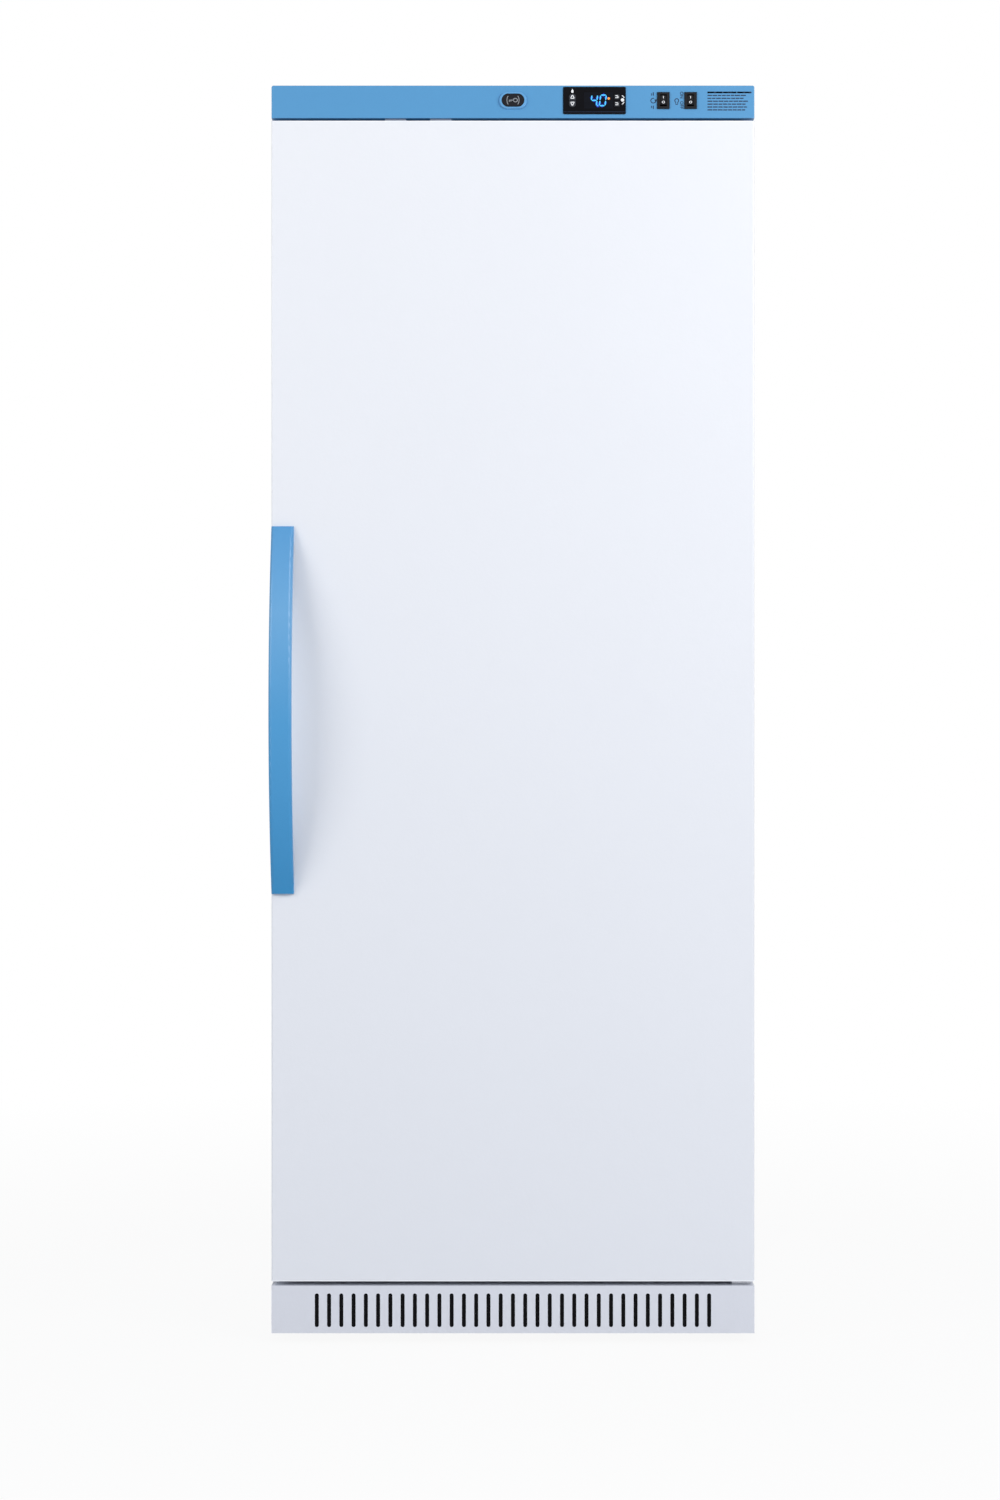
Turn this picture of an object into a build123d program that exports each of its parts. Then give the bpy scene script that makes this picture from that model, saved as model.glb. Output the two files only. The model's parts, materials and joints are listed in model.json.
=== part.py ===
from build123d import *
import math
import os

os.makedirs("parts", exist_ok=True)

# Upright laboratory refrigerator with one solid door, hinged on the right.
# Lengths are millimetres. The floor is z = 0, the door faces -Y, and x = 0 is mid width.

# Overall sizes
width = 600.0
body_depth = 620.0           # door front to the back of the cabinet
floor_clearance = 12.0
kick_height = 59.0
door_height = 1441.7
door_thickness = 50.0
panel_height = 40.5          # control panel above the door
top_gap = 3.3                # between the door and the control panel
panel_corner = 2.5           # upper corners of the control panel

# Materials and general clearances
sheet = 1.2                  # painted steel sheet
pan_sheet = 1.5              # base pan steel
liner_wall = 2.0             # moulded plastic liner
cap_flange = 1.5             # visible rim of the door's end caps
touch = 0.3                  # gap left between pieces that move apart
running = 0.1                # radial clearance of a shaft in its hole
fold_radius = 1.0            # outer radius where sheet is folded
hole_room = 1.0              # radial room where a fixed pin passes a sheet

# Cabinet walls and the cold space
side_wall = 45.0             # outer side to the inside of the liner
back_wall = 55.0
seal_height = 50.0           # door edge to the edge of the opening
liner_lip = 5.0
gasket_gap = 12.0            # door back to cabinet face
liner_radius = 8.0
rear_flange = 20.0           # side panels' return at the back

# Machine room at the rear bottom
room_depth = 200.0
room_top = 290.0
step_cover = 50.0            # foam above the machine room
step_front = 45.0            # foam in front of the machine room
underfloor_z = 78.0          # underside of the foam above the air duct

# Door hinge
pivot_inset = 12.0           # from the door's right edge
pivot_setback = 28.0         # from the door's front
pin_radius = 5.0
hinge_plate = 3.0
washer = 2.2
pin_reach = 12.5             # how far a pin goes into the door
hinge_width = 36.0
hinge_leg = 17.0

# Door seal and inner panel
seal_inset = 18.0            # from the door's edge to the gasket's edge
gasket_width = 20.0
panel_skin = 2.0
dyke_gap = 13.0              # dyke to liner, at the sides
dyke_height = 20.0
dyke_width = 30.0
skin_lip = 20.0              # door skin's return at its back
spigot_depth = 16.5          # end caps' rib inside the skin
spigot_wall = 2.5
rib_play = 0.4               # between that rib and the skin
door_radius = 2.0            # outer radius of the door's upright edges

# Bow handle
handle_reach = 52.0
handle_length = 456.0
handle_width = 28.0
handle_end = 5.0             # thickness of its square-cut ends
handle_thickness = 12.0
handle_drop = 11.3           # grip's middle below the door's middle
handle_edge = 4.0

# Kick grille slots
slot_count = 33
slot_margin = 56.3           # outer slots' middle from the sides
slot_width = 5.0
slot_length = 42.0
slot_drop = 1.0              # slots sit a little under mid height
filter_overlap = 10.0
filter_thickness = 5.0

# Lock in the control panel
lock_inset = 300.0           # its middle from the panel's right end
lock_z_up = 21.6             # above the control panel's lower edge
lock_ring_w = 34.4
lock_ring_h = 20.6
lock_oval_w = 28.4
lock_oval_h = 16.6
lock_proud = 3.0
cover_thickness = 1.6
cylinder_radius = 6.0
cylinder_length = 35.5
cam_length = 37.0
cam_width = 12.0
cam_thickness = 2.5
cam_room = 2.7               # room on both faces of the cam in its slots

# Controller
case_inset = 198.8           # its middle from the panel's right end
case_width = 78.0
case_height = 34.0
case_proud = 1.5
case_overlap = 3.0           # bezel over the edge of its cut-out
case_depth = 46.0
lens_shift = 5.3             # right of the case's middle
lens_width = 36.0
lens_height = 20.0
lens_thickness = 1.5
button_travel = 0.5
button_proud = 0.6
button_depth = 5.0
arrow_shift = 27.4           # left of the case's middle
arrow_width = 8.4
arrow_height = 7.8
arrow_spacing = 8.4
pad_shift = 28.0
pad_size = 6.2
pad_spacing = 8.8
key_roundness = 0.42         # corner radius of an arrow key over its width

# Rocker switches
rocker_inset = 79.4          # outer rocker from the panel's right end
rocker_spacing = 33.8
rocker_frame_w = 15.6
rocker_frame_h = 20.9
rocker_frame_proud = 2.0
rocker_width = 7.8
rocker_half = 6.6            # half height of the rocker
rocker_pivot_in = 1.5        # pivot behind the panel's front
rocker_tilt = 10.0
rocker_body_depth = 18.0

# Door sensors between panel and door
sensor_xs = (-146.2, -89.7)
sensor_width = 26.0
sensor_depth = 12.0
sensor_height = 2.5
sensor_in = 14.0             # behind the door's front
magnet_depth = 6.0

# Levelling feet and rear rollers
foot_inset = 45.0            # from the cabinet's side
foot_setback = 34.0          # behind the cabinet face
foot_radius = 18.0
foot_height = 7.0
foot_stud_radius = 5.0
foot_stud = 36.0
foot_boss = 22.0
roller_inset = 45.0
roller_radius = 20.0
roller_width = 20.0
roller_from_back = 45.0
axle_radius = 4.0
roller_side_gap = 2.0
ear_thickness = 2.0
ear_width = 24.0

# Shelves and their standards
standard_width = 14.0
standard_depth = 8.0
standard_sheet = 1.5
standard_inset = 50.0        # from the shelf's front and back edges
ladder_pitch = 70.0          # slots in the standards
ladder_slot_w = 4.0
ladder_slot_h = 14.0
shelf_count = 4
shelf_over_step = 20.0       # lowest shelf above the liner's step
shelf_steps = 4              # ladder pitches from one shelf to the next
shelf_side_room = 14.0
shelf_front_room = 22.0
shelf_back_room = 11.0       # to the evaporator cover
wire_radius = 2.3
rod_radius = 3.2
wire_pitch = 34.0
clip_height = 16.0
clip_width = 9.0

# Evaporator and its cover
cover_side_room = 35.0
cover_depth = 70.0
cover_bottom_z = 820.0
cover_wall = 2.0
fan_z_down = 105.0           # evaporator fan below the cover's top
fan_radius = 52.0
fan_hub_radius = 20.0
fan_depth = 16.0
guard_rings = 2
guard_slot = 16.0
guard_spoke = 6.0
coil_side_room = 40.0        # cover's side to the last fin
coil_depth = 40.0
coil_tube = 9.0
coil_bend = 8.0              # bends outside the last fin
coil_from_wall = 27.0
bracket_width = 30.0         # coil's wall brackets, at its end fins
bracket_height = 10.0
motor_radius = 22.0
motor_bracket_w = 110.0
motor_bracket_h = 36.0
motor_bore = 24.0
shaft_radius = 3.0
shaft_length = 20.0
blade_total = 5
blade_thickness = 1.6
blade_pitch = math.radians(32)

# Interior lamp
lamp_half = 120.0
lamp_back = 48.0             # behind the cabinet face
lamp_depth = 36.0
lamp_height = 12.0
lamp_slope = 6.0

# Machine room equipment
compressor_inset = 164.0     # from the right side
compressor_length = 190.0
compressor_depth = 132.0
compressor_height = 165.0
grommet_height = 14.0
seam_share = 0.5             # weld seam's height over the pot's
seam_proud = 3.0
seam_height = 5.0
condenser_inset = 85.0       # from the left side
condenser_width = 60.0
condenser_height = 150.0
condenser_depth = 118.0
fin_count = 9
big_fan_radius = 75.0
big_fan_hub = 24.0
big_fan_depth = 24.0
line_radius = 3.0
tray_width = 70.0
tray_height = 36.0
tray_wall = 2.0
tray_corner = 8.0
tray_room = 12.0             # from the compressor's foot plate

# Access port
port_inset = 85.0            # from the liner's right wall
port_z = 600.0
port_radius = 19.0
port_wall = 2.5
port_flange = 9.0

# Mains inlet
inlet_inset = 85.0           # from the left side
inlet_z = 62.0
inlet_width = 27.0
inlet_height = 19.5
inlet_flange = 7.0
inlet_deep = 17.0

# Levels and planes worked out from the sizes above
half_width = width / 2
kick_gap = hinge_plate + washer + touch
kick_top = floor_clearance + kick_height
door_bottom = kick_top + kick_gap
door_top = door_bottom + door_height
panel_bottom = door_top + top_gap
top_z = panel_bottom + panel_height
front_y = (handle_reach - body_depth) / 2
back_y = front_y + body_depth
door_back_y = front_y + door_thickness
face_y = door_back_y + gasket_gap
open_half = half_width - side_wall
open_bottom = door_bottom + seal_height
open_top = door_top - seal_height
liner_back_y = back_y - back_wall
room_front_y = back_y - room_depth
step_front_y = room_front_y - step_front
step_top = room_top + step_cover
inner_half = half_width - sheet
pivot_x = half_width - pivot_inset
pivot_y = front_y + pivot_setback
lock_z = panel_bottom + lock_z_up
deck_top = panel_bottom + sheet
flange_edge = open_half + liner_wall + liner_lip
pan_top = floor_clearance + pan_sheet
roller_y = back_y - roller_from_back
foot_y = face_y + foot_setback
lock_x = half_width - lock_inset
cam_y = front_y + cylinder_length - cam_thickness
handle_z = (door_bottom + door_top) / 2 - handle_drop
slot_pitch = (width - 2 * slot_margin) / (slot_count - 1)
slot_z = floor_clearance + kick_height / 2 - slot_drop
case_x = half_width - case_inset
lens_x = case_x + lens_shift
arrow_x = case_x - arrow_shift
pad_x = case_x + pad_shift
rocker_xs = (half_width - rocker_inset - rocker_spacing, half_width - rocker_inset)
foot_x = half_width - foot_inset
roller_x = half_width - roller_inset
cover_front_y = liner_back_y - cover_depth
cover_half = open_half - cover_side_room
shelf_half = open_half - shelf_side_room
shelf_front_y = face_y + shelf_front_room
shelf_back_y = cover_front_y - shelf_back_room
shelf_first_z = step_top + shelf_over_step
front_standard_y = shelf_front_y + standard_inset
rear_standard_y = shelf_back_y - standard_inset
compressor_x = half_width - compressor_inset
condenser_x = condenser_inset - half_width
port_x = open_half - port_inset
inlet_x = inlet_inset - half_width


def facing(y):
    """Plane at a given y. Its x is X and its y is Z, and a negative extrusion goes to the back."""
    return Plane.XZ.offset(-y)


def across(x):
    """Plane at a given x. Its x is Y, its y is Z, and it faces +X."""
    return Plane.YZ.offset(x)


def level(z):
    """Horizontal plane at a given height."""
    return Plane.XY.offset(z)


def field(u0, u1, v0, v1, mode=Mode.ADD):
    """Rectangle between two edges each way, in the sketch being made."""
    with Locations(((u0 + u1) / 2, (v0 + v1) / 2)):
        Rectangle(u1 - u0, v1 - v0, mode=mode)


def sheet_strip(points, thickness, side):
    """Section of folded sheet: one face follows the points, and the other lies to one side."""
    with BuildSketch() as section:
        with BuildLine():
            Polyline(*points)
            offset(amount=thickness, side=side)
        make_face()
    return section.sketch


def write(part, name):
    """Name a finished piece and write it."""
    part.label = name
    export_step(part, "parts/" + name + ".step")


# Side panels: one folded sheet each, returned inwards at the front as the sealing face.
# The return is notched above the deck, where the upper hinge and the wiring pass.
with BuildPart() as left_side_panel:
    with BuildSketch(level(floor_clearance)):
        add(
            sheet_strip(
                [
                    (-flange_edge, face_y),
                    (-half_width, face_y),
                    (-half_width, back_y),
                    (-half_width + rear_flange, back_y),
                ],
                sheet,
                Side.RIGHT,
            )
        )
    extrude(amount=top_z - sheet - floor_clearance)
    with BuildSketch(facing(face_y)):
        field(-half_width + sheet, -flange_edge, panel_bottom, top_z - sheet)
    extrude(amount=-sheet, mode=Mode.SUBTRACT)
write(left_side_panel.part, "left_side_panel")

with BuildPart() as right_side_panel:
    add(left_side_panel.part.mirror(Plane.YZ))
write(right_side_panel.part, "right_side_panel")

# Top cover: a tray turned over the cabinet, behind the control panel
with BuildPart() as top_cover:
    with BuildSketch(level(top_z - sheet)):
        field(-half_width, half_width, face_y, back_y)
    extrude(amount=sheet)
    top_corners = top_cover.edges().filter_by(Axis.Z).group_by(Axis.Y)[-1]
    fillet(top_corners, radius=2)
write(top_cover.part, "top_cover")

# Back panel, between the side panels' rear returns
with BuildPart() as back_panel:
    with BuildSketch(facing(back_y - sheet)):
        field(-half_width + rear_flange, half_width - rear_flange, room_top, top_z - sheet)
        with Locations((port_x, port_z)):
            Circle(port_radius + port_wall, mode=Mode.SUBTRACT)
    extrude(amount=-sheet)
write(back_panel.part, "back_panel")

# Face rails close the steel face above and below the opening
with BuildPart() as face_rails:
    with BuildSketch(facing(face_y)):
        field(-flange_edge, flange_edge, open_top + liner_wall + liner_lip, panel_bottom)
        field(-flange_edge, flange_edge, kick_top, open_bottom - liner_wall - liner_lip)
    extrude(amount=-sheet)
write(face_rails.part, "face_rails")


def cold_space(grow, back_y_limit):
    """Section of the cold space with its step over the machine room, grown by a wall."""
    with BuildSketch() as section:
        with BuildLine():
            FilletPolyline(
                (face_y, open_bottom - grow),
                (step_front_y + grow, open_bottom - grow),
                (step_front_y + grow, step_top - grow),
                (back_y_limit + grow, step_top - grow),
                (back_y_limit + grow, open_top + grow),
                (face_y, open_top + grow),
                radius=liner_radius,
            )
            Line((face_y, open_top + grow), (face_y, open_bottom - grow))
        make_face()
    return section.sketch


# Liner of the cold space, one moulded shell with a lip round its mouth
with BuildPart() as inner_liner:
    with BuildSketch(across(0)):
        add(cold_space(liner_wall, liner_back_y))
    extrude(amount=open_half + liner_wall, both=True)
    with BuildSketch(facing(face_y)):
        field(
            -flange_edge,
            flange_edge,
            open_bottom - liner_wall - liner_lip,
            open_top + liner_wall + liner_lip,
        )
    extrude(amount=-sheet)
    with BuildSketch(across(0)):
        add(cold_space(0, liner_back_y))
    extrude(amount=open_half, both=True, mode=Mode.SUBTRACT)
    with BuildSketch(facing(liner_back_y)):
        with Locations((port_x, port_z)):
            Circle(port_radius + port_wall)
    extrude(amount=-liner_wall, mode=Mode.SUBTRACT)
write(inner_liner.part, "inner_liner")

# Insulation foamed between the liner and the outer sheets, stepped over the machine room
with BuildPart() as cabinet_foam:
    with BuildSketch(across(0)):
        with BuildLine():
            Polyline(
                (face_y + sheet, underfloor_z),
                (room_front_y, underfloor_z),
                (room_front_y, room_top),
                (back_y - sheet, room_top),
                (back_y - sheet, panel_bottom),
                (face_y + sheet, panel_bottom),
                close=True,
            )
        make_face()
    extrude(amount=inner_half, both=True)
    with BuildSketch(across(0)):
        add(cold_space(liner_wall, liner_back_y))
    extrude(amount=open_half + liner_wall, both=True, mode=Mode.SUBTRACT)
    with BuildSketch(facing(liner_back_y)):
        with Locations((port_x, port_z)):
            Circle(port_radius + port_wall)
    extrude(amount=-back_wall, mode=Mode.SUBTRACT)
write(cabinet_foam.part, "cabinet_foam")

# Deck of the electronics compartment, above the foam
with BuildPart() as electronics_deck:
    with BuildSketch(level(panel_bottom)):
        field(-inner_half, inner_half, face_y + sheet, back_y - sheet)
    extrude(amount=sheet)
write(electronics_deck.part, "electronics_deck")

# Baffle under the foam and round the machine room, folded from one sheet
with BuildPart() as machine_room_baffle:
    with BuildSketch(across(-inner_half)):
        add(
            sheet_strip(
                [
                    (face_y + sheet, underfloor_z),
                    (room_front_y, underfloor_z),
                    (room_front_y, room_top),
                    (back_y - sheet, room_top),
                ],
                sheet,
                Side.RIGHT,
            )
        )
    extrude(amount=2 * inner_half)
write(machine_room_baffle.part, "machine_room_baffle")

# Base pan with its side returns, foot nuts, roller cut-outs and roller ears
ear_offset = roller_width / 2 + roller_side_gap
with BuildPart() as base_pan:
    with BuildSketch(facing(face_y + sheet)):
        add(
            sheet_strip(
                [
                    (-inner_half, floor_clearance + 28),
                    (-inner_half, floor_clearance),
                    (inner_half, floor_clearance),
                    (inner_half, floor_clearance + 28),
                ],
                pan_sheet,
                Side.LEFT,
            )
        )
    extrude(amount=-(back_y - face_y - 2 * sheet))
    with BuildSketch(level(pan_top)):
        with Locations((-foot_x, foot_y), (foot_x, foot_y)):
            RegularPolygon(11, 6)
    extrude(amount=foot_boss)
    with BuildSketch(level(floor_clearance)):
        with Locations((-foot_x, foot_y), (foot_x, foot_y)):
            Circle(foot_stud_radius + running)
        with Locations((-roller_x, roller_y), (roller_x, roller_y)):
            Rectangle(2 * ear_offset, 2 * roller_radius + 4)
    extrude(amount=foot_boss + pan_sheet, mode=Mode.SUBTRACT)
    for side in (-1, 1):
        for edge in (-1, 1):
            ear_x = side * roller_x + edge * (ear_offset + ear_thickness / 2) - ear_thickness / 2
            with BuildSketch(across(ear_x)):
                with Locations((roller_y, roller_radius)):
                    Rectangle(ear_width, 2 * (roller_radius - floor_clearance))
                    Circle(axle_radius + running, mode=Mode.SUBTRACT)
            extrude(amount=ear_thickness)
write(base_pan.part, "base_pan")

# Levelling feet: a pad with a hexagon to turn it and a threaded stud in the pan's nut
for foot_name, foot_side in (("left_foot", -1), ("right_foot", 1)):
    with BuildPart() as foot:
        with BuildSketch(level(0)):
            with Locations((foot_side * foot_x, foot_y)):
                Circle(foot_radius)
        extrude(amount=foot_height)
        with BuildSketch(level(foot_height)):
            with Locations((foot_side * foot_x, foot_y)):
                RegularPolygon(9, 6)
        extrude(amount=floor_clearance - foot_height)
        with BuildSketch(level(floor_clearance)):
            with Locations((foot_side * foot_x, foot_y)):
                Circle(foot_stud_radius)
        extrude(amount=foot_stud)
    write(foot.part, foot_name)

# Rear rollers pressed on one axle, turned from one profile
axle_half = roller_x + ear_offset + ear_thickness + 4
with BuildPart() as rear_rollers:
    with BuildSketch(across(-axle_half)):
        with Locations((roller_y, roller_radius)):
            Circle(axle_radius)
    extrude(amount=2 * axle_half)
    for side in (-1, 1):
        with BuildSketch(across(side * roller_x - roller_width / 2)):
            with Locations((roller_y, roller_radius)):
                Circle(roller_radius)
        extrude(amount=roller_width)
write(rear_rollers.part, "rear_rollers")

# Kick grille: a folded tray with a row of upright round-ended slots
with BuildPart() as kick_grille:
    with BuildSketch(level(floor_clearance)):
        field(-half_width, half_width, front_y, face_y)
    extrude(amount=kick_height)
    grille_back = kick_grille.faces().sort_by(Axis.Y)[-1]
    grille_under = kick_grille.faces().sort_by(Axis.Z)[0]
    offset(amount=-sheet, openings=[grille_back, grille_under])
    fillet(kick_grille.edges().filter_by(Axis.Z).group_by(Axis.Y)[0], radius=fold_radius)
    with BuildSketch(facing(front_y)) as slots:
        with Locations((0, slot_z)):
            with GridLocations(slot_pitch, 1, slot_count, 1):
                Rectangle(slot_width, slot_length)
        chamfer(slots.vertices(), length=slot_width * 0.3)
    extrude(amount=-sheet, mode=Mode.SUBTRACT)
write(kick_grille.part, "kick_grille")

# Air filter: a black foam sheet clipped behind the slots
with BuildPart() as air_filter:
    with BuildSketch(facing(front_y + sheet)):
        with Locations((0, slot_z)):
            Rectangle(
                slot_pitch * (slot_count - 1) + 2 * filter_overlap,
                slot_length + filter_overlap,
            )
    extrude(amount=-filter_thickness)
write(air_filter.part, "air_filter")

# Control panel: a folded tray with cut-outs for lock, controller and rocker switches
cam_slot_y0 = cam_y - cam_room
cam_slot_y1 = cam_y + cam_thickness + cam_room
cam_tip = math.hypot(cam_length, cam_width / 2)
cam_slot_x0 = lock_x - cam_width / 2 - 1.5
panel_slot_x1 = lock_x + math.sqrt(cam_tip**2 - (lock_z - deck_top) ** 2) + 2
door_slot_x1 = lock_x + math.sqrt(cam_tip**2 - (lock_z - door_top) ** 2) + 2
rocker_body_w = rocker_frame_w - 3
rocker_body_h = rocker_frame_h - 3
with BuildPart() as control_fascia:
    with BuildSketch(level(panel_bottom)):
        field(-half_width, half_width, front_y, face_y)
    extrude(amount=panel_height)
    fillet(control_fascia.edges().filter_by(Axis.Y).group_by(Axis.Z)[-1], radius=panel_corner)
    offset(amount=-sheet, openings=control_fascia.faces().sort_by(Axis.Y)[-1])
    fillet(control_fascia.edges().filter_by(Axis.Z).group_by(Axis.Y)[0], radius=fold_radius)
    with BuildSketch(facing(front_y)):
        with Locations((lock_x, lock_z)):
            Circle(cylinder_radius + 3)
        with Locations((case_x, lock_z)):
            Rectangle(case_width - 2 * case_overlap, case_height - 2 * case_overlap)
        for rocker_x in rocker_xs:
            with Locations((rocker_x, lock_z)):
                Rectangle(rocker_body_w, rocker_body_h)
    extrude(amount=-sheet, mode=Mode.SUBTRACT)
    with BuildSketch(level(panel_bottom)):
        with Locations((pivot_x, pivot_y)):
            Circle(pin_radius + hole_room)
        field(cam_slot_x0, panel_slot_x1, cam_slot_y0, cam_slot_y1)
    extrude(amount=sheet, mode=Mode.SUBTRACT)
write(control_fascia.part, "control_fascia")

# Lock housing: an oval ring on the panel, a recess for its cover and a sleeve behind
recess_floor_y = front_y - lock_proud + cover_thickness + 0.8
with BuildPart() as lock_housing:
    with BuildSketch(facing(front_y - lock_proud)):
        with Locations((lock_x, lock_z)):
            SlotOverall(lock_ring_w, lock_ring_h)
    extrude(amount=-lock_proud)
    chamfer(lock_housing.edges().group_by(Axis.Y)[0], length=1.2)
    with BuildSketch(facing(front_y - lock_proud)):
        with Locations((lock_x, lock_z)):
            SlotOverall(lock_oval_w, lock_oval_h)
    extrude(amount=-(recess_floor_y - front_y + lock_proud), mode=Mode.SUBTRACT)
    with BuildSketch(facing(front_y)):
        with Locations((lock_x, lock_z)):
            RegularPolygon(cylinder_radius + 3, 6)
    extrude(amount=-(cam_y - 1 - front_y))
    with BuildSketch(facing(recess_floor_y)):
        with Locations((lock_x, lock_z)):
            Circle(cylinder_radius + running)
    extrude(amount=-cylinder_length, mode=Mode.SUBTRACT)
write(lock_housing.part, "lock_housing")

# Lock cylinder with its key slot, and the cam that drops into the door
with BuildPart() as lock_cylinder:
    with BuildSketch(facing(recess_floor_y + 0.5)):
        with Locations((lock_x, lock_z)):
            Circle(cylinder_radius)
    extrude(amount=-(cam_y - recess_floor_y - 0.5))
    with BuildSketch(facing(recess_floor_y + 0.5)):
        with Locations((lock_x, lock_z)):
            Rectangle(1.6, 8)
    extrude(amount=-12, mode=Mode.SUBTRACT)
    with BuildSketch(facing(cam_y)):
        with Locations((lock_x, lock_z)):
            Circle(cylinder_radius + 1)
        field(lock_x, lock_x + cam_length, lock_z - cam_width / 2, lock_z + cam_width / 2)
    extrude(amount=-cam_thickness)
write(lock_cylinder.part, "lock_cylinder")

# Lock cover: an oval flap in the ring's recess, on a pin along its top edge
cover_axis_z = lock_z + lock_oval_h / 2 - 1
with BuildPart() as lock_cover:
    with BuildSketch(facing(front_y - lock_proud)):
        with Locations((lock_x, lock_z)):
            SlotOverall(lock_oval_w - 2 * touch, lock_oval_h - 2 * touch)
    extrude(amount=-cover_thickness)
write(lock_cover.part, "lock_cover")


def key_section(key_x, key_z, key_w, key_h, round_end):
    """Section of a key, round at its top for 1, at its bottom for -1, and square for 0."""
    with BuildSketch() as section:
        with Locations((key_x, key_z)):
            Rectangle(key_w, key_h)
        if round_end:
            ends = section.vertices().group_by(Axis.Y)
            fillet(ends[-1] if round_end > 0 else ends[0], radius=key_w * key_roundness)
    return section.sketch


# Controller case: bezel in front of the panel and a housing behind it
button_rows = (lock_z + arrow_spacing / 2, lock_z - arrow_spacing / 2)
pad_rows = (lock_z + pad_spacing / 2, lock_z - pad_spacing / 2)
case_front_y = front_y - case_proud
buttons = (
    ("up_button", arrow_x, button_rows[0], arrow_width, arrow_height, 1),
    ("down_button", arrow_x, button_rows[1], arrow_width, arrow_height, -1),
    ("mute_button", pad_x, pad_rows[0], pad_size, pad_size, 0),
    ("set_button", pad_x, pad_rows[1], pad_size, pad_size, 0),
)
with BuildPart() as controller_case:
    with BuildSketch(facing(case_front_y)):
        with Locations((case_x, lock_z)):
            RectangleRounded(case_width, case_height, 2)
    extrude(amount=-case_proud)
    chamfer(controller_case.edges().group_by(Axis.Y)[0], length=0.6)
    with BuildSketch(facing(front_y)):
        with Locations((case_x, lock_z)):
            Rectangle(case_width - 2 * case_overlap, case_height - 2 * case_overlap)
    extrude(amount=-case_depth)
    with BuildSketch(facing(case_front_y)):
        with Locations((lens_x, lock_z)):
            Rectangle(lens_width, lens_height)
    extrude(amount=-lens_thickness, mode=Mode.SUBTRACT)
    with BuildSketch(facing(case_front_y)):
        for _, key_x, key_z, key_w, key_h, round_end in buttons:
            add(key_section(key_x, key_z, key_w + 2 * touch, key_h + 2 * touch, round_end))
    extrude(amount=-(button_depth + 2 * button_travel), mode=Mode.SUBTRACT)
write(controller_case.part, "controller_case")

with BuildPart() as display_lens:
    with BuildSketch(facing(case_front_y)):
        with Locations((lens_x, lock_z)):
            Rectangle(lens_width, lens_height)
    extrude(amount=-lens_thickness)
write(display_lens.part, "display_lens")

# Four push buttons of the controller, each in its own well
for button_name, key_x, key_z, key_w, key_h, round_end in buttons:
    with BuildPart() as button:
        with BuildSketch(facing(case_front_y - button_proud)):
            add(key_section(key_x, key_z, key_w, key_h, round_end))
        extrude(amount=-button_depth)
        chamfer(button.edges().group_by(Axis.Y)[0], length=0.4)
    write(button.part, button_name)

# Rocker switch frames, with a pocket each that lets the rocker swing
rocker_pivot_y = front_y + rocker_pivot_in
rocker_pocket_w = rocker_width + 2 * touch
rocker_pocket_h = 2 * (rocker_half + 0.8)
with BuildPart() as rocker_frames:
    for rocker_x in rocker_xs:
        with BuildSketch(facing(front_y - rocker_frame_proud)):
            with Locations((rocker_x, lock_z)):
                Rectangle(rocker_frame_w, rocker_frame_h)
        extrude(amount=-rocker_frame_proud)
    chamfer(rocker_frames.edges().group_by(Axis.Y)[0], length=0.7)
    for rocker_x in rocker_xs:
        with BuildSketch(facing(front_y)):
            with Locations((rocker_x, lock_z)):
                Rectangle(rocker_body_w, rocker_body_h)
        extrude(amount=-rocker_body_depth)
        with BuildSketch(facing(front_y - rocker_frame_proud)):
            with Locations((rocker_x, lock_z)):
                Rectangle(rocker_pocket_w, rocker_pocket_h)
        extrude(amount=-(rocker_frame_proud + rocker_pivot_in + rocker_half), mode=Mode.SUBTRACT)
write(rocker_frames.part, "rocker_frames")

# Rockers: a shallow V front and a round back, turned to one side at rest
for rocker_name, rocker_x in zip(("reset_rocker", "lamp_rocker"), rocker_xs):
    with BuildPart() as rocker:
        with BuildSketch(across(rocker_x - rocker_width / 2)):
            with BuildLine():
                Polyline(
                    (rocker_pivot_y + 2, lock_z - rocker_half + 0.4),
                    (rocker_pivot_y - 3, lock_z - rocker_half + 0.6),
                    (rocker_pivot_y - 2, lock_z),
                    (rocker_pivot_y - 3, lock_z + rocker_half - 0.6),
                    (rocker_pivot_y + 2, lock_z + rocker_half - 0.4),
                )
                ThreePointArc(
                    (rocker_pivot_y + 2, lock_z + rocker_half - 0.4),
                    (rocker_pivot_y + 4.5, lock_z),
                    (rocker_pivot_y + 2, lock_z - rocker_half + 0.4),
                )
            make_face()
        extrude(amount=rocker_width)
    rocker_axis = Axis((rocker_x, rocker_pivot_y, lock_z), (1, 0, 0))
    write(rocker.part.rotate(rocker_axis, -rocker_tilt), rocker_name)

# Door sensors under the control panel
with BuildPart() as reed_switches:
    for sensor_x in sensor_xs:
        with BuildSketch(level(panel_bottom - sensor_height)):
            with Locations((sensor_x, front_y + sensor_in)):
                Rectangle(sensor_width, sensor_depth)
        extrude(amount=sensor_height)
write(reed_switches.part, "reed_switches")

# Upper hinge: a plate bolted on the panel's floor and the deck, with a pin down into the door
hinge_x0 = half_width - 2 * sheet - hinge_width
hinge_x1 = half_width - 2 * sheet
with BuildPart() as upper_hinge:
    with BuildSketch(level(deck_top)):
        with BuildLine():
            Polyline(
                (hinge_x0, face_y + 42),
                (hinge_x1, face_y + 42),
                (hinge_x1, pivot_y - 15),
                (pivot_x - 15, pivot_y - 15),
                (hinge_x0, pivot_y + 6),
                close=True,
            )
        make_face()
    extrude(amount=hinge_plate + 1)
    with BuildSketch(level(door_top - pin_reach)):
        with Locations((pivot_x, pivot_y)):
            Circle(pin_radius)
    extrude(amount=deck_top - door_top + pin_reach)
write(upper_hinge.part, "upper_hinge")

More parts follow.
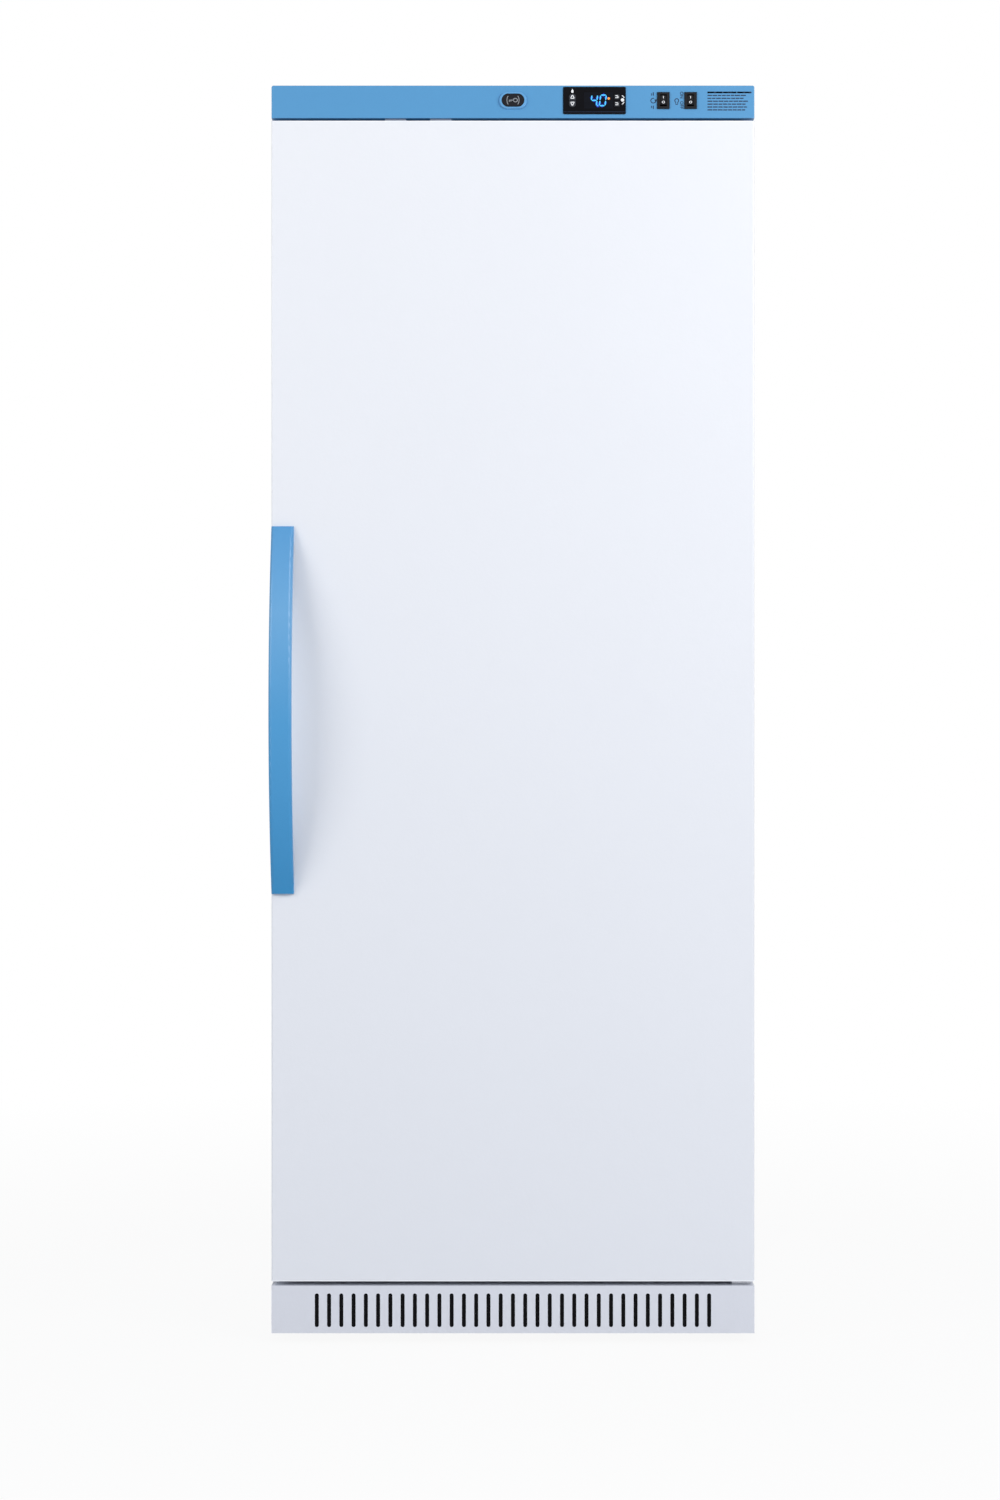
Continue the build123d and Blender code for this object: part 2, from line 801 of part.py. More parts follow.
# Lower hinge: an angle on the cabinet face, with a washer and a pin up into the door
with BuildPart() as lower_hinge:
    with BuildSketch(level(kick_top)):
        with BuildLine():
            Polyline(
                (hinge_x0, face_y),
                (hinge_x1, face_y),
                (hinge_x1, pivot_y - 15),
                (pivot_x - 15, pivot_y - 15),
                (hinge_x0, pivot_y + 6),
                close=True,
            )
        make_face()
    extrude(amount=hinge_plate)
    with BuildSketch(facing(face_y - hinge_plate)):
        field(hinge_x0, hinge_x1, kick_top, kick_top + hinge_plate + hinge_leg)
    extrude(amount=-hinge_plate)
    with BuildSketch(level(kick_top + hinge_plate)):
        with Locations((pivot_x, pivot_y)):
            Circle(pin_radius + 3)
    extrude(amount=washer)
    with BuildSketch(level(kick_top + hinge_plate)):
        with Locations((pivot_x, pivot_y)):
            Circle(pin_radius)
    extrude(amount=kick_gap - hinge_plate + pin_reach)
write(lower_hinge.part, "lower_hinge")

# Door skin: front, sides and rear returns folded from one sheet
with BuildPart() as door_skin:
    with BuildSketch(level(door_bottom + cap_flange)):
        with BuildLine():
            FilletPolyline(
                (-half_width + skin_lip, door_back_y),
                (-half_width, door_back_y),
                (-half_width, front_y),
                (half_width, front_y),
                (half_width, door_back_y),
                (half_width - skin_lip, door_back_y),
                radius=door_radius,
            )
            offset(amount=sheet, side=Side.LEFT)
        make_face()
    extrude(amount=door_height - 2 * cap_flange)
write(door_skin.part, "door_skin")

# End caps of the door: a rim over the skin's ends, a rib inside it and a boss for the pin
cap_inner_y0 = front_y + sheet
cap_inner_y1 = door_back_y - sheet
pin_bore = pin_reach + 0.5
rib_half = inner_half - rib_play
rib_y0 = cap_inner_y0 + rib_play
rib_y1 = cap_inner_y1 - rib_play


def end_cap(rim_z, rib_z):
    """Rim and inner rib of one end cap, with the boss of its hinge pin."""
    with BuildPart() as cap:
        with BuildSketch(level(rim_z)):
            field(-half_width, half_width, front_y, door_back_y)
        extrude(amount=cap_flange)
        chamfer(cap.edges().filter_by(Axis.Z), length=1)
        with BuildSketch(level(rib_z)):
            field(-rib_half, rib_half, rib_y0, rib_y1)
            field(
                -rib_half + spigot_wall,
                rib_half - spigot_wall,
                rib_y0 + spigot_wall,
                rib_y1 - spigot_wall,
                mode=Mode.SUBTRACT,
            )
            with Locations((pivot_x, pivot_y)):
                Circle(pin_radius + 4)
        extrude(amount=spigot_depth)
    return cap.part


with BuildPart() as door_top_cap:
    add(end_cap(door_top - cap_flange, door_top - cap_flange - spigot_depth))
    with BuildSketch(level(door_top - cap_flange - spigot_depth)):
        field(
            cam_slot_x0 - spigot_wall,
            door_slot_x1 + spigot_wall,
            cam_slot_y0 - spigot_wall,
            cam_slot_y1 + spigot_wall,
        )
    extrude(amount=spigot_depth)
    with BuildSketch(level(door_top)):
        field(cam_slot_x0, door_slot_x1, cam_slot_y0, cam_slot_y1)
    extrude(amount=-(cam_tip - lock_z + door_top + 1.5), mode=Mode.SUBTRACT)
    with BuildSketch(level(door_top)):
        with Locations((pivot_x, pivot_y)):
            Circle(pin_radius + running)
    extrude(amount=-pin_bore, mode=Mode.SUBTRACT)
    with BuildSketch(level(door_top)):
        for sensor_x in sensor_xs:
            with Locations((sensor_x, front_y + sensor_in)):
                Rectangle(sensor_width, sensor_depth)
    extrude(amount=-cap_flange, mode=Mode.SUBTRACT)
write(door_top_cap.part, "door_top_cap")

with BuildPart() as door_bottom_cap:
    add(end_cap(door_bottom, door_bottom + cap_flange))
    with BuildSketch(level(door_bottom)):
        with Locations((pivot_x, pivot_y)):
            Circle(pin_radius + running)
    extrude(amount=pin_bore, mode=Mode.SUBTRACT)
write(door_bottom_cap.part, "door_bottom_cap")

# Magnets let into the door's top edge, under the sensors
with BuildPart() as door_magnets:
    for sensor_x in sensor_xs:
        with BuildSketch(level(door_top - magnet_depth)):
            with Locations((sensor_x, front_y + sensor_in)):
                Rectangle(sensor_width, sensor_depth)
        extrude(amount=magnet_depth)
write(door_magnets.part, "door_magnets")


def seal_ring(inset, ring_width):
    """Rectangular ring at a given inset from the door's edges."""
    x1 = half_width - inset
    z0 = door_bottom + inset
    z1 = door_top - inset
    field(-x1, x1, z0, z1)
    field(-x1 + ring_width, x1 - ring_width, z0 + ring_width, z1 - ring_width, mode=Mode.SUBTRACT)


# Inner door panel: a moulded sheet with a raised dyke that reaches into the cold space
panel_back_y = door_back_y + panel_skin
dyke_inset = side_wall + dyke_gap
dyke_draft = 6.0


def dyke(start_y, height, inset, ring_width):
    """Tapered ring with rounded corners, standing towards the cabinet."""
    ring_w = width - 2 * inset
    ring_h = door_height - 2 * inset - 2 * (seal_height - side_wall)
    mid_z = (door_bottom + door_top) / 2
    with BuildPart() as ring:
        with BuildSketch(facing(start_y)):
            with Locations((0, mid_z)):
                RectangleRounded(ring_w, ring_h, 24)
                RectangleRounded(
                    ring_w - 2 * ring_width, ring_h - 2 * ring_width, 14, mode=Mode.SUBTRACT
                )
        extrude(amount=-height, taper=dyke_draft)
    return ring.part


with BuildPart() as door_inner_panel:
    with BuildSketch(facing(door_back_y)):
        panel_inset = skin_lip - 6
        field(
            -half_width + panel_inset,
            half_width - panel_inset,
            door_bottom + panel_inset,
            door_top - panel_inset,
        )
    extrude(amount=-panel_skin)
    add(dyke(panel_back_y, dyke_height, dyke_inset, dyke_width))
    add(
        dyke(door_back_y, dyke_height, dyke_inset + panel_skin, dyke_width - 2 * panel_skin),
        mode=Mode.SUBTRACT,
    )
write(door_inner_panel.part, "door_inner_panel")

# Door insulation, which also fills the dyke
with BuildPart() as door_foam:
    with BuildSketch(facing(cap_inner_y0)):
        foam_inset = cap_flange + spigot_depth
        field(-inner_half, inner_half, door_bottom + foam_inset, door_top - foam_inset)
    extrude(amount=-(cap_inner_y1 - cap_inner_y0))
    fillet(door_foam.edges().filter_by(Axis.Z), radius=door_radius)
    with BuildSketch(facing(cap_inner_y1)):
        field(
            -half_width + skin_lip,
            half_width - skin_lip,
            door_bottom + skin_lip,
            door_top - skin_lip,
        )
    extrude(amount=-sheet)
    add(dyke(door_back_y, dyke_height, dyke_inset + panel_skin, dyke_width - 2 * panel_skin))
write(door_foam.part, "door_foam")

# Magnetic gasket: a foot on the inner panel, a bellows and a magnet head against the face
gasket_steps = (
    (0.0, 2.5, gasket_width),
    (2.5, 6.0, gasket_width - 9),
    (6.0, gasket_gap - panel_skin - touch, gasket_width - 2),
)
with BuildPart() as door_gasket:
    for step_start, step_end, step_width in gasket_steps:
        with BuildSketch(facing(panel_back_y + step_start)):
            seal_ring(seal_inset + (gasket_width - step_width) / 2, step_width)
        extrude(amount=-(step_end - step_start))
write(door_gasket.part, "door_gasket")

# Bow handle: an arched bar on the door's left edge, square cut at both ends
handle_half = handle_length / 2
front_arc_y = front_y - handle_end
bow_rise = handle_reach - handle_end
foot_share = math.sqrt(1 - (handle_thickness - handle_end) / bow_rise)
handle_foot_z = handle_half * foot_share
with BuildPart() as door_handle:
    with BuildSketch(across(-half_width)):
        with BuildLine():
            ThreePointArc(
                (front_arc_y, handle_z - handle_half),
                (front_y - handle_reach, handle_z),
                (front_arc_y, handle_z + handle_half),
            )
            Polyline(
                (front_arc_y, handle_z + handle_half),
                (front_y, handle_z + handle_half),
                (front_y, handle_z + handle_foot_z),
            )
            ThreePointArc(
                (front_y, handle_z + handle_foot_z),
                (front_y - handle_reach + handle_thickness, handle_z),
                (front_y, handle_z - handle_foot_z),
            )
            Polyline(
                (front_y, handle_z - handle_foot_z),
                (front_y, handle_z - handle_half),
                (front_arc_y, handle_z - handle_half),
            )
        make_face()
    extrude(amount=handle_width)
    bow_edges = door_handle.edges().filter_by(
        lambda edge: edge.length > handle_length and edge.bounding_box().min.Y < front_y - handle_reach + 1
    )
    fillet(bow_edges, radius=handle_edge)
write(door_handle.part, "door_handle")

# Shelf standards: folded channels with a ladder of slots, on the liner's side walls
shelf_zs = [shelf_first_z + shelf_steps * ladder_pitch * k for k in range(shelf_count)]
standard_top = open_top - 24
standard_rows = (
    (front_standard_y, open_bottom + 20),
    (rear_standard_y, step_top + 2),
)
with BuildPart() as left_standards:
    for standard_y, standard_foot in standard_rows:
        y0 = standard_y - standard_width / 2
        y1 = standard_y + standard_width / 2
        with BuildSketch(level(standard_foot)):
            add(
                sheet_strip(
                    [
                        (-open_half, y0),
                        (-open_half + standard_depth, y0),
                        (-open_half + standard_depth, y1),
                        (-open_half, y1),
                    ],
                    standard_sheet,
                    Side.LEFT,
                )
            )
        extrude(amount=standard_top - standard_foot)
        ladder_zs = [
            shelf_first_z + ladder_pitch * k
            for k in range(-4, 20)
            if standard_foot + ladder_slot_h < shelf_first_z + ladder_pitch * k < standard_top - ladder_slot_h
        ]
        with BuildSketch(across(-open_half + standard_depth)):
            with Locations(*[(standard_y, ladder_z) for ladder_z in ladder_zs]):
                Rectangle(ladder_slot_w, ladder_slot_h)
        extrude(amount=-standard_sheet, mode=Mode.SUBTRACT)
with BuildPart() as shelf_standards:
    add(left_standards.part)
    add(left_standards.part.mirror(Plane.YZ))
write(shelf_standards.part, "shelf_standards")

# Shelf clips: a hook in a ladder slot with a ledge that carries the shelf's rod
clip_face = open_half - standard_depth
rod_flat = rod_radius * math.cos(math.pi / 6)
with BuildPart() as shelf_clips:
    for shelf_z in shelf_zs:
        seat_z = shelf_z - 2 * rod_flat
        for clip_y in (front_standard_y, rear_standard_y):
            with BuildSketch(facing(clip_y - clip_width / 2)):
                for side in (-1, 1):
                    with BuildLine():
                        Polyline(
                            (side * (clip_face - 2), seat_z + 8),
                            (side * clip_face, seat_z + 8),
                            (side * clip_face, seat_z - clip_height + 8),
                            (side * (clip_face - 3), seat_z - clip_height + 8),
                            (side * (shelf_half - 9), seat_z - 3),
                            (side * (shelf_half - 9), seat_z),
                            (side * (clip_face - 2), seat_z),
                            close=True,
                        )
                    make_face()
            extrude(amount=-clip_width)
write(shelf_clips.part, "shelf_clips")


# Wire shelves: two cross rods that rest on the clips, with wires laid over them
wire_flat = wire_radius * math.cos(math.pi / 6)
wire_count = int((2 * shelf_half - 2 * rod_radius) / wire_pitch)
for number, shelf_z in enumerate(shelf_zs, start=1):
    with BuildPart() as shelf:
        with BuildSketch(across(-shelf_half)):
            with Locations(
                (front_standard_y, shelf_z - rod_flat),
                (rear_standard_y, shelf_z - rod_flat),
            ):
                RegularPolygon(rod_radius, 6)
        extrude(amount=2 * shelf_half)
        with BuildSketch(facing(shelf_front_y)):
            with Locations((0, shelf_z + wire_flat)):
                with GridLocations(wire_pitch, 1, wire_count, 1):
                    RegularPolygon(wire_radius, 6)
        extrude(amount=-(shelf_back_y - shelf_front_y))
    write(shelf.part, "shelf_" + str(number))

# Evaporator cover on the rear wall, open at the back, with a fan guard and air slots
cover_top_z = open_top - liner_radius - 2
fan_z = cover_top_z - fan_z_down
with BuildPart() as evaporator_cover:
    with BuildSketch(facing(cover_front_y)):
        field(-cover_half, cover_half, cover_bottom_z, cover_top_z)
    extrude(amount=-cover_depth)
    chamfer(evaporator_cover.edges().group_by(Axis.Y)[0], length=6)
    offset(amount=-cover_wall, openings=evaporator_cover.faces().sort_by(Axis.Y)[-1])
    with BuildSketch(facing(cover_front_y)):
        with Locations((0, fan_z)):
            for ring in range(guard_rings):
                outer = fan_radius + 2 - ring * (guard_slot + 4)
                Circle(outer)
                Circle(outer - guard_slot, mode=Mode.SUBTRACT)
            Rectangle(2 * fan_radius + 10, guard_spoke, mode=Mode.SUBTRACT)
            Rectangle(guard_spoke, 2 * fan_radius + 10, mode=Mode.SUBTRACT)
        with Locations((0, cover_bottom_z + 45)):
            with GridLocations(90, 14, 4, 3):
                Rectangle(70, 6)
    extrude(amount=-cover_wall, mode=Mode.SUBTRACT)
write(evaporator_cover.part, "evaporator_cover")


def finned_coil(core, fin_total, tube_ys, tube_zs, along_half, tube_size, fin_size):
    """Fin plates across X on straight tubes, joined by bends at both ends."""
    with BuildPart() as pack:
        for k in range(fin_total):
            fin_x = core[0] - along_half + 2 * along_half * k / (fin_total - 1)
            with BuildSketch(across(fin_x - 0.5)):
                with Locations((core[1], core[2])):
                    Rectangle(*fin_size)
            extrude(amount=1)
        with BuildSketch(across(core[0] - along_half - coil_bend)):
            with Locations(*[(core[1] + y, core[2] + z) for y in tube_ys for z in tube_zs]):
                Rectangle(tube_size, tube_size)
        extrude(amount=2 * (along_half + coil_bend))
    return pack.part


# Evaporator: tubes along X with upright fins, behind its cover
coil_z = (cover_bottom_z + 90 + fan_z - fan_radius - 20) / 2
coil_height = fan_z - fan_radius - 20 - cover_bottom_z - 90
coil_y = liner_back_y - coil_from_wall
coil_half = cover_half - coil_side_room
coil_zs = [coil_height * (k - 1.5) / 4 for k in range(4)]
bend_half = coil_tube / 2
with BuildPart() as evaporator_coil:
    fin_size = (coil_depth, coil_height)
    add(finned_coil((0, coil_y, coil_z), fin_count, [0], coil_zs, coil_half, coil_tube, fin_size))
    for side in (-1, 1):
        with BuildSketch(across(side * (coil_half + coil_bend) - bend_half)):
            for pair in ((0, 1), (2, 3)) if side > 0 else ((1, 2),):
                z0 = coil_z + coil_zs[pair[0]] - bend_half
                z1 = coil_z + coil_zs[pair[1]] + bend_half
                field(coil_y - bend_half, coil_y + bend_half, z0, z1)
        extrude(amount=coil_tube)
    with BuildSketch(facing(coil_y + coil_depth / 2)):
        with Locations((0, coil_z)):
            with GridLocations(2 * coil_half - bracket_width, coil_height - 30, 2, 2):
                Rectangle(bracket_width, bracket_height)
    extrude(amount=-(liner_back_y - coil_y - coil_depth / 2))
write(evaporator_coil.part, "evaporator_coil")

# Evaporator fan motor on its bracket
fan_front_y = cover_front_y + cover_wall + 4
motor_front_y = fan_front_y + fan_depth + 3
with BuildPart() as evaporator_motor:
    with BuildSketch(facing(motor_front_y)):
        with Locations((0, fan_z)):
            Circle(motor_radius)
    extrude(amount=-(liner_back_y - motor_front_y - 3))
    with BuildSketch(facing(liner_back_y - 3)):
        with Locations((0, fan_z)):
            Rectangle(motor_bracket_w, motor_bracket_h)
    extrude(amount=-3)
    with BuildSketch(facing(motor_front_y)):
        with Locations((0, fan_z)):
            Circle(shaft_radius + running)
    extrude(amount=-motor_bore, mode=Mode.SUBTRACT)
write(evaporator_motor.part, "evaporator_motor")


def fan_rotor(base, hub_radius, tip_radius, depth):
    """Axial rotor: a hub, pitched blades that widen to the tip and a shaft out of its back."""
    with BuildPart() as rotor:
        with BuildSketch(base):
            Circle(hub_radius)
        extrude(amount=depth)
        with BuildSketch(base.offset(depth)):
            Circle(shaft_radius)
        extrude(amount=shaft_length)
        for k in range(blade_total):
            turn = 2 * math.pi * k / blade_total
            radial = base.x_dir * math.cos(turn) + base.y_dir * math.sin(turn)
            tangent = base.y_dir * math.cos(turn) - base.x_dir * math.sin(turn)
            chord_dir = tangent * math.cos(blade_pitch) + base.z_dir * math.sin(blade_pitch)
            middle = base.origin + base.z_dir * (depth / 2)
            with BuildSketch(Plane(middle, x_dir=radial, z_dir=radial.cross(chord_dir))):
                with BuildLine():
                    Polyline(
                        (hub_radius - 1, -depth * 0.55),
                        (tip_radius - 3, -depth * 0.95),
                        (tip_radius, depth * 0.1),
                        (tip_radius - 2, depth * 0.9),
                        (hub_radius - 1, depth * 0.55),
                        close=True,
                    )
                make_face()
            extrude(amount=blade_thickness / 2, both=True)
    return rotor.part


with BuildPart() as evaporator_fan:
    add(
        fan_rotor(
            Plane((0, fan_front_y, fan_z), x_dir=(1, 0, 0), z_dir=(0, 1, 0)),
            fan_hub_radius,
            fan_radius - 3,
            fan_depth,
        )
    )
write(evaporator_fan.part, "evaporator_fan")

# Lamp under the ceiling of the cold space
lamp_y0 = face_y + lamp_back - lamp_depth / 2
lamp_y1 = lamp_y0 + lamp_depth
with BuildPart() as interior_lamp:
    with BuildSketch(across(-lamp_half)):
        with BuildLine():
            Polyline(
                (lamp_y0, open_top),
                (lamp_y0 + lamp_slope, open_top - lamp_height),
                (lamp_y1 - lamp_slope, open_top - lamp_height),
                (lamp_y1, open_top),
                close=True,
            )
        make_face()
    extrude(amount=2 * lamp_half)
    fillet(interior_lamp.edges().filter_by(Axis.X).group_by(Axis.Z)[0], radius=3)
write(interior_lamp.part, "interior_lamp")

# Access port: a sleeve through the rear wall with a flange inside, and its plug
with BuildPart() as port_sleeve:
    with BuildSketch(facing(liner_back_y)):
        with Locations((port_x, port_z)):
            Circle(port_radius + port_wall)
    extrude(amount=-back_wall)
    with BuildSketch(facing(liner_back_y - 2)):
        with Locations((port_x, port_z)):
            Circle(port_radius + port_flange)
    extrude(amount=-2)
    with BuildSketch(facing(liner_back_y - 2)):
        with Locations((port_x, port_z)):
            Circle(port_radius)
    extrude(amount=-back_wall - 2, mode=Mode.SUBTRACT)
write(port_sleeve.part, "port_sleeve")

with BuildPart() as port_plug:
    with BuildSketch(facing(liner_back_y - 2 - touch)):
        with Locations((port_x, port_z)):
            Circle(port_radius - touch)
    extrude(amount=-40)
    with BuildSketch(facing(liner_back_y - 10)):
        with Locations((port_x, port_z)):
            Circle(port_radius + 4)
    extrude(amount=-(8 - touch))
write(port_plug.part, "port_plug")

# Compressor: an oval pot with a domed lid, on a foot plate with four rubber mounts
compressor_y = room_front_y + sheet + 14 + compressor_depth / 2
plate_z = pan_top + grommet_height
with BuildPart() as compressor:
    with BuildSketch(level(plate_z + 3)):
        with Locations((compressor_x, compressor_y)):
            SlotOverall(compressor_length - 24, compressor_depth - 12)
    extrude(amount=compressor_height)
    chamfer(compressor.edges().group_by(Axis.Z)[-1], length=14, length2=26)
    with BuildSketch(level(plate_z + 3 + compressor_height * seam_share)):
        with Locations((compressor_x, compressor_y)):
            SlotOverall(compressor_length - 24 + 2 * seam_proud, compressor_depth - 12 + 2 * seam_proud)
    extrude(amount=seam_height)
    with BuildSketch(level(plate_z)):
        with Locations((compressor_x, compressor_y)):
            Rectangle(compressor_length, compressor_depth)
    extrude(amount=3)
    with BuildSketch(level(pan_top)):
        with Locations((compressor_x, compressor_y)):
            with GridLocations(compressor_length - 26, compressor_depth - 26, 2, 2):
                RegularPolygon(10, 8)
    extrude(amount=grommet_height)
    with BuildSketch(facing(compressor_y + compressor_depth / 2 - 18)):
        with Locations((compressor_x + 10, plate_z + 62)):
            Rectangle(64, 62)
    extrude(amount=-30)
write(compressor.part, "compressor")

# Condenser: fins along X on tubes, beside its fan
condenser_y = room_front_y + sheet + 14 + condenser_depth / 2
condenser_z = pan_top + 6 + condenser_height / 2
condenser_zs = [condenser_height * (k - 1) / 3.2 for k in range(3)]
with BuildPart() as condenser_coil:
    for k in range(fin_count):
        fin_y = condenser_y - condenser_depth / 2 + condenser_depth * (k + 0.5) / fin_count
        with BuildSketch(facing(fin_y - 0.5)):
            with Locations((condenser_x, condenser_z)):
                Rectangle(condenser_width, condenser_height)
        extrude(amount=-1)
    with BuildSketch(facing(condenser_y - condenser_depth / 2 - 6)):
        with Locations(
            *[(condenser_x, condenser_z + dz) for dz in condenser_zs]
        ):
            Rectangle(8, 8)
    extrude(amount=-(condenser_depth + 12))
    for end_y in (condenser_y - condenser_depth / 2 - 6, condenser_y + condenser_depth / 2 + 1):
        with BuildSketch(facing(end_y)):
            for dz in condenser_zs:
                field(condenser_x - 4, condenser_x + 4, condenser_z + dz - 4, condenser_z + dz + 4)
        extrude(amount=-5)
    for foot_line_x in (condenser_x - condenser_width / 2, condenser_x + condenser_width / 2 - 3):
        with BuildSketch(across(foot_line_x)):
            field(
                condenser_y - condenser_depth / 2 + 4,
                condenser_y + condenser_depth / 2 - 4,
                pan_top,
                condenser_z - condenser_height / 2 + 12,
            )
        extrude(amount=3)
write(condenser_coil.part, "condenser_coil")

# Fan shroud on the condenser's inner side, with the motor bracket
shroud_x = condenser_x + condenser_width / 2
shroud_half = min(condenser_depth, condenser_height) / 2
big_fan_x = shroud_x + 8
big_fan_r = min(big_fan_radius, shroud_half - 6)
motor_x = big_fan_x + big_fan_depth + 3
with BuildPart() as condenser_shroud:
    with BuildSketch(across(shroud_x)):
        with Locations((condenser_y, condenser_z)):
            Rectangle(condenser_depth, condenser_height)
            Circle(big_fan_r + 3, mode=Mode.SUBTRACT)
    extrude(amount=2)
    with BuildSketch(across(motor_x)):
        with Locations((condenser_y, condenser_z)):
            Circle(motor_radius + 4)
            Circle(shaft_radius + running, mode=Mode.SUBTRACT)
    extrude(amount=34)
    with BuildSketch(across(motor_x + 12)):
        with Locations((condenser_y, condenser_z)):
            Rectangle(2 * big_fan_r + 10, 14)
            Circle(motor_radius, mode=Mode.SUBTRACT)
    extrude(amount=3)
    with BuildSketch(across(shroud_x + 2)):
        for edge in (-1, 1):
            with Locations((condenser_y + edge * (big_fan_r + 4), condenser_z)):
                Rectangle(2, 14)
    extrude(amount=motor_x + 12 - shroud_x - 2)
write(condenser_shroud.part, "condenser_shroud")

with BuildPart() as condenser_fan:
    add(
        fan_rotor(
            Plane((big_fan_x, condenser_y, condenser_z), x_dir=(0, 1, 0), z_dir=(1, 0, 0)),
            big_fan_hub,
            big_fan_r - 1,
            big_fan_depth,
        )
    )
write(condenser_fan.part, "condenser_fan")

# Drip tray on the base pan between condenser and compressor
tray_x1 = compressor_x - compressor_length / 2 - tray_room
tray_x0 = tray_x1 - tray_width
tray_y0 = room_front_y + 24
tray_y1 = roller_y - 20
with BuildPart() as drip_tray:
    with BuildSketch(level(pan_top)):
        with Locations(((tray_x0 + tray_x1) / 2, (tray_y0 + tray_y1) / 2)):
            RectangleRounded(tray_x1 - tray_x0, tray_y1 - tray_y0, tray_corner)
    extrude(amount=tray_height)
    offset(amount=-tray_wall, openings=drip_tray.faces().sort_by(Axis.Z)[-1])
write(drip_tray.part, "drip_tray")

# Refrigerant lines from the compressor to the condenser and up behind the foam
pot_side_x = compressor_x - compressor_length / 2 + 12
line_z = plate_z + 100
line_top = room_top - 30
discharge = [
    (pot_side_x, compressor_y, line_z),
    (pot_side_x - 24, compressor_y, line_z),
    (pot_side_x - 24, compressor_y, line_top),
    (condenser_x, compressor_y, line_top),
    (condenser_x, compressor_y, condenser_z + condenser_height / 2),
]
with BuildPart() as refrigerant_lines:
    with BuildLine() as discharge_path:
        FilletPolyline(*discharge, radius=10)
    with BuildSketch(Plane(origin=discharge_path.line @ 0, z_dir=discharge_path.line % 0)):
        RegularPolygon(line_radius, 6)
    sweep()
write(refrigerant_lines.part, "refrigerant_lines")

# Rear machine cover: a sheet with rows of air slots and the inlet's cut-out
with BuildPart() as rear_machine_cover:
    with BuildSketch(facing(back_y - sheet)):
        field(
            -half_width + rear_flange,
            half_width - rear_flange,
            floor_clearance + pan_sheet,
            room_top - 0.5,
        )
        with Locations((inlet_x, inlet_z)):
            Rectangle(inlet_width, inlet_height, mode=Mode.SUBTRACT)
        with Locations((0, (floor_clearance + room_top) / 2 + 34)):
            with GridLocations(130, 20, 4, 7):
                Rectangle(110, 8, mode=Mode.SUBTRACT)
    extrude(amount=-sheet)
write(rear_machine_cover.part, "rear_machine_cover")

# Mains inlet: a shuttered mouth with three blades, let into the rear cover
with BuildPart() as power_inlet:
    with BuildSketch(facing(back_y - inlet_deep - 3)):
        with Locations((inlet_x, inlet_z)):
            Rectangle(inlet_width, inlet_height)
    extrude(amount=-(inlet_deep + 3))
    with BuildSketch(facing(back_y - sheet - 2)):
        with Locations((inlet_x, inlet_z)):
            RectangleRounded(inlet_width + 2 * inlet_flange, inlet_height + 8, 3)
    extrude(amount=-2)
    with BuildSketch(facing(back_y)):
        with Locations((inlet_x, inlet_z)):
            Rectangle(inlet_width - 3, inlet_height - 3)
    extrude(amount=inlet_deep, mode=Mode.SUBTRACT)
    with BuildSketch(facing(back_y - inlet_deep)):
        with Locations((inlet_x - 7, inlet_z - 1), (inlet_x, inlet_z + 3), (inlet_x + 7, inlet_z - 1)):
            Rectangle(2, 4)
    extrude(amount=-(inlet_deep - 3))
write(power_inlet.part, "power_inlet")
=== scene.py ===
# %% [markdown]
# # A laboratory refrigerator, dressed for its picture
# The machine was designed first as a set of solid parts, and those solids are loaded here as a
# fixed frame that is never moved. Everything below either gives a part its real finish or adds
# the fine pieces that the solids leave out: the wires of the shelves, the signs on the
# controls, the digits of the display and the screws.

# %% The frame
import math

import bmesh
import bpy
from mathutils import Matrix, Vector
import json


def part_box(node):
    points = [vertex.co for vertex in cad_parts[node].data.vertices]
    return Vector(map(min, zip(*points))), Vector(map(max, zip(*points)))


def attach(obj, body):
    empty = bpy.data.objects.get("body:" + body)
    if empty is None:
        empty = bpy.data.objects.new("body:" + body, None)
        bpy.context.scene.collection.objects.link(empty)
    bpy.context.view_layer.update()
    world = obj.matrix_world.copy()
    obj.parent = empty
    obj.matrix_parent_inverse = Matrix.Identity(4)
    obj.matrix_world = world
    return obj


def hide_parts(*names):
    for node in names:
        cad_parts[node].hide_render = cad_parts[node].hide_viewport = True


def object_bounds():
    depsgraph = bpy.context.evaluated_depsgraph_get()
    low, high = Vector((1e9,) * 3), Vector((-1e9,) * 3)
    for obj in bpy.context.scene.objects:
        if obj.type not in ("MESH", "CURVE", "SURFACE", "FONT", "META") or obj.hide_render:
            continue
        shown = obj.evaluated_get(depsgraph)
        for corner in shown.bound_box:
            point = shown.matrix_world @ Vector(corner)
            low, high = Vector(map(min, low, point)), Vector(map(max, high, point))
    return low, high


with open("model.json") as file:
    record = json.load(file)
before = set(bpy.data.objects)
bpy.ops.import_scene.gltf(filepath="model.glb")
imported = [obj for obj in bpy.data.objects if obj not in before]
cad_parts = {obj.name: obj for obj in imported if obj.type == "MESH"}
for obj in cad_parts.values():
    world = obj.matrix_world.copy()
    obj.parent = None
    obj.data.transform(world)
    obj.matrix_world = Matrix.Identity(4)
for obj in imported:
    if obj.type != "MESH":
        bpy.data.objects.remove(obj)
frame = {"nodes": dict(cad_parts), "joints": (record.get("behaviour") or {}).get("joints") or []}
cad_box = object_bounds()
bpy.context.scene.view_settings.view_transform = "Standard"

# %% [markdown]
# ## Where the camera stands
# The photograph looks straight at the front from a long way off, so the verticals stay
# vertical. The camera could be placed by eye, but the machine is 600 mm wide and its outline is
# known in pixels, so the place follows from the sums: the middle of the picture falls 16 mm
# left of the machine's middle and 736 mm up. A long lens keeps the sides out of view.

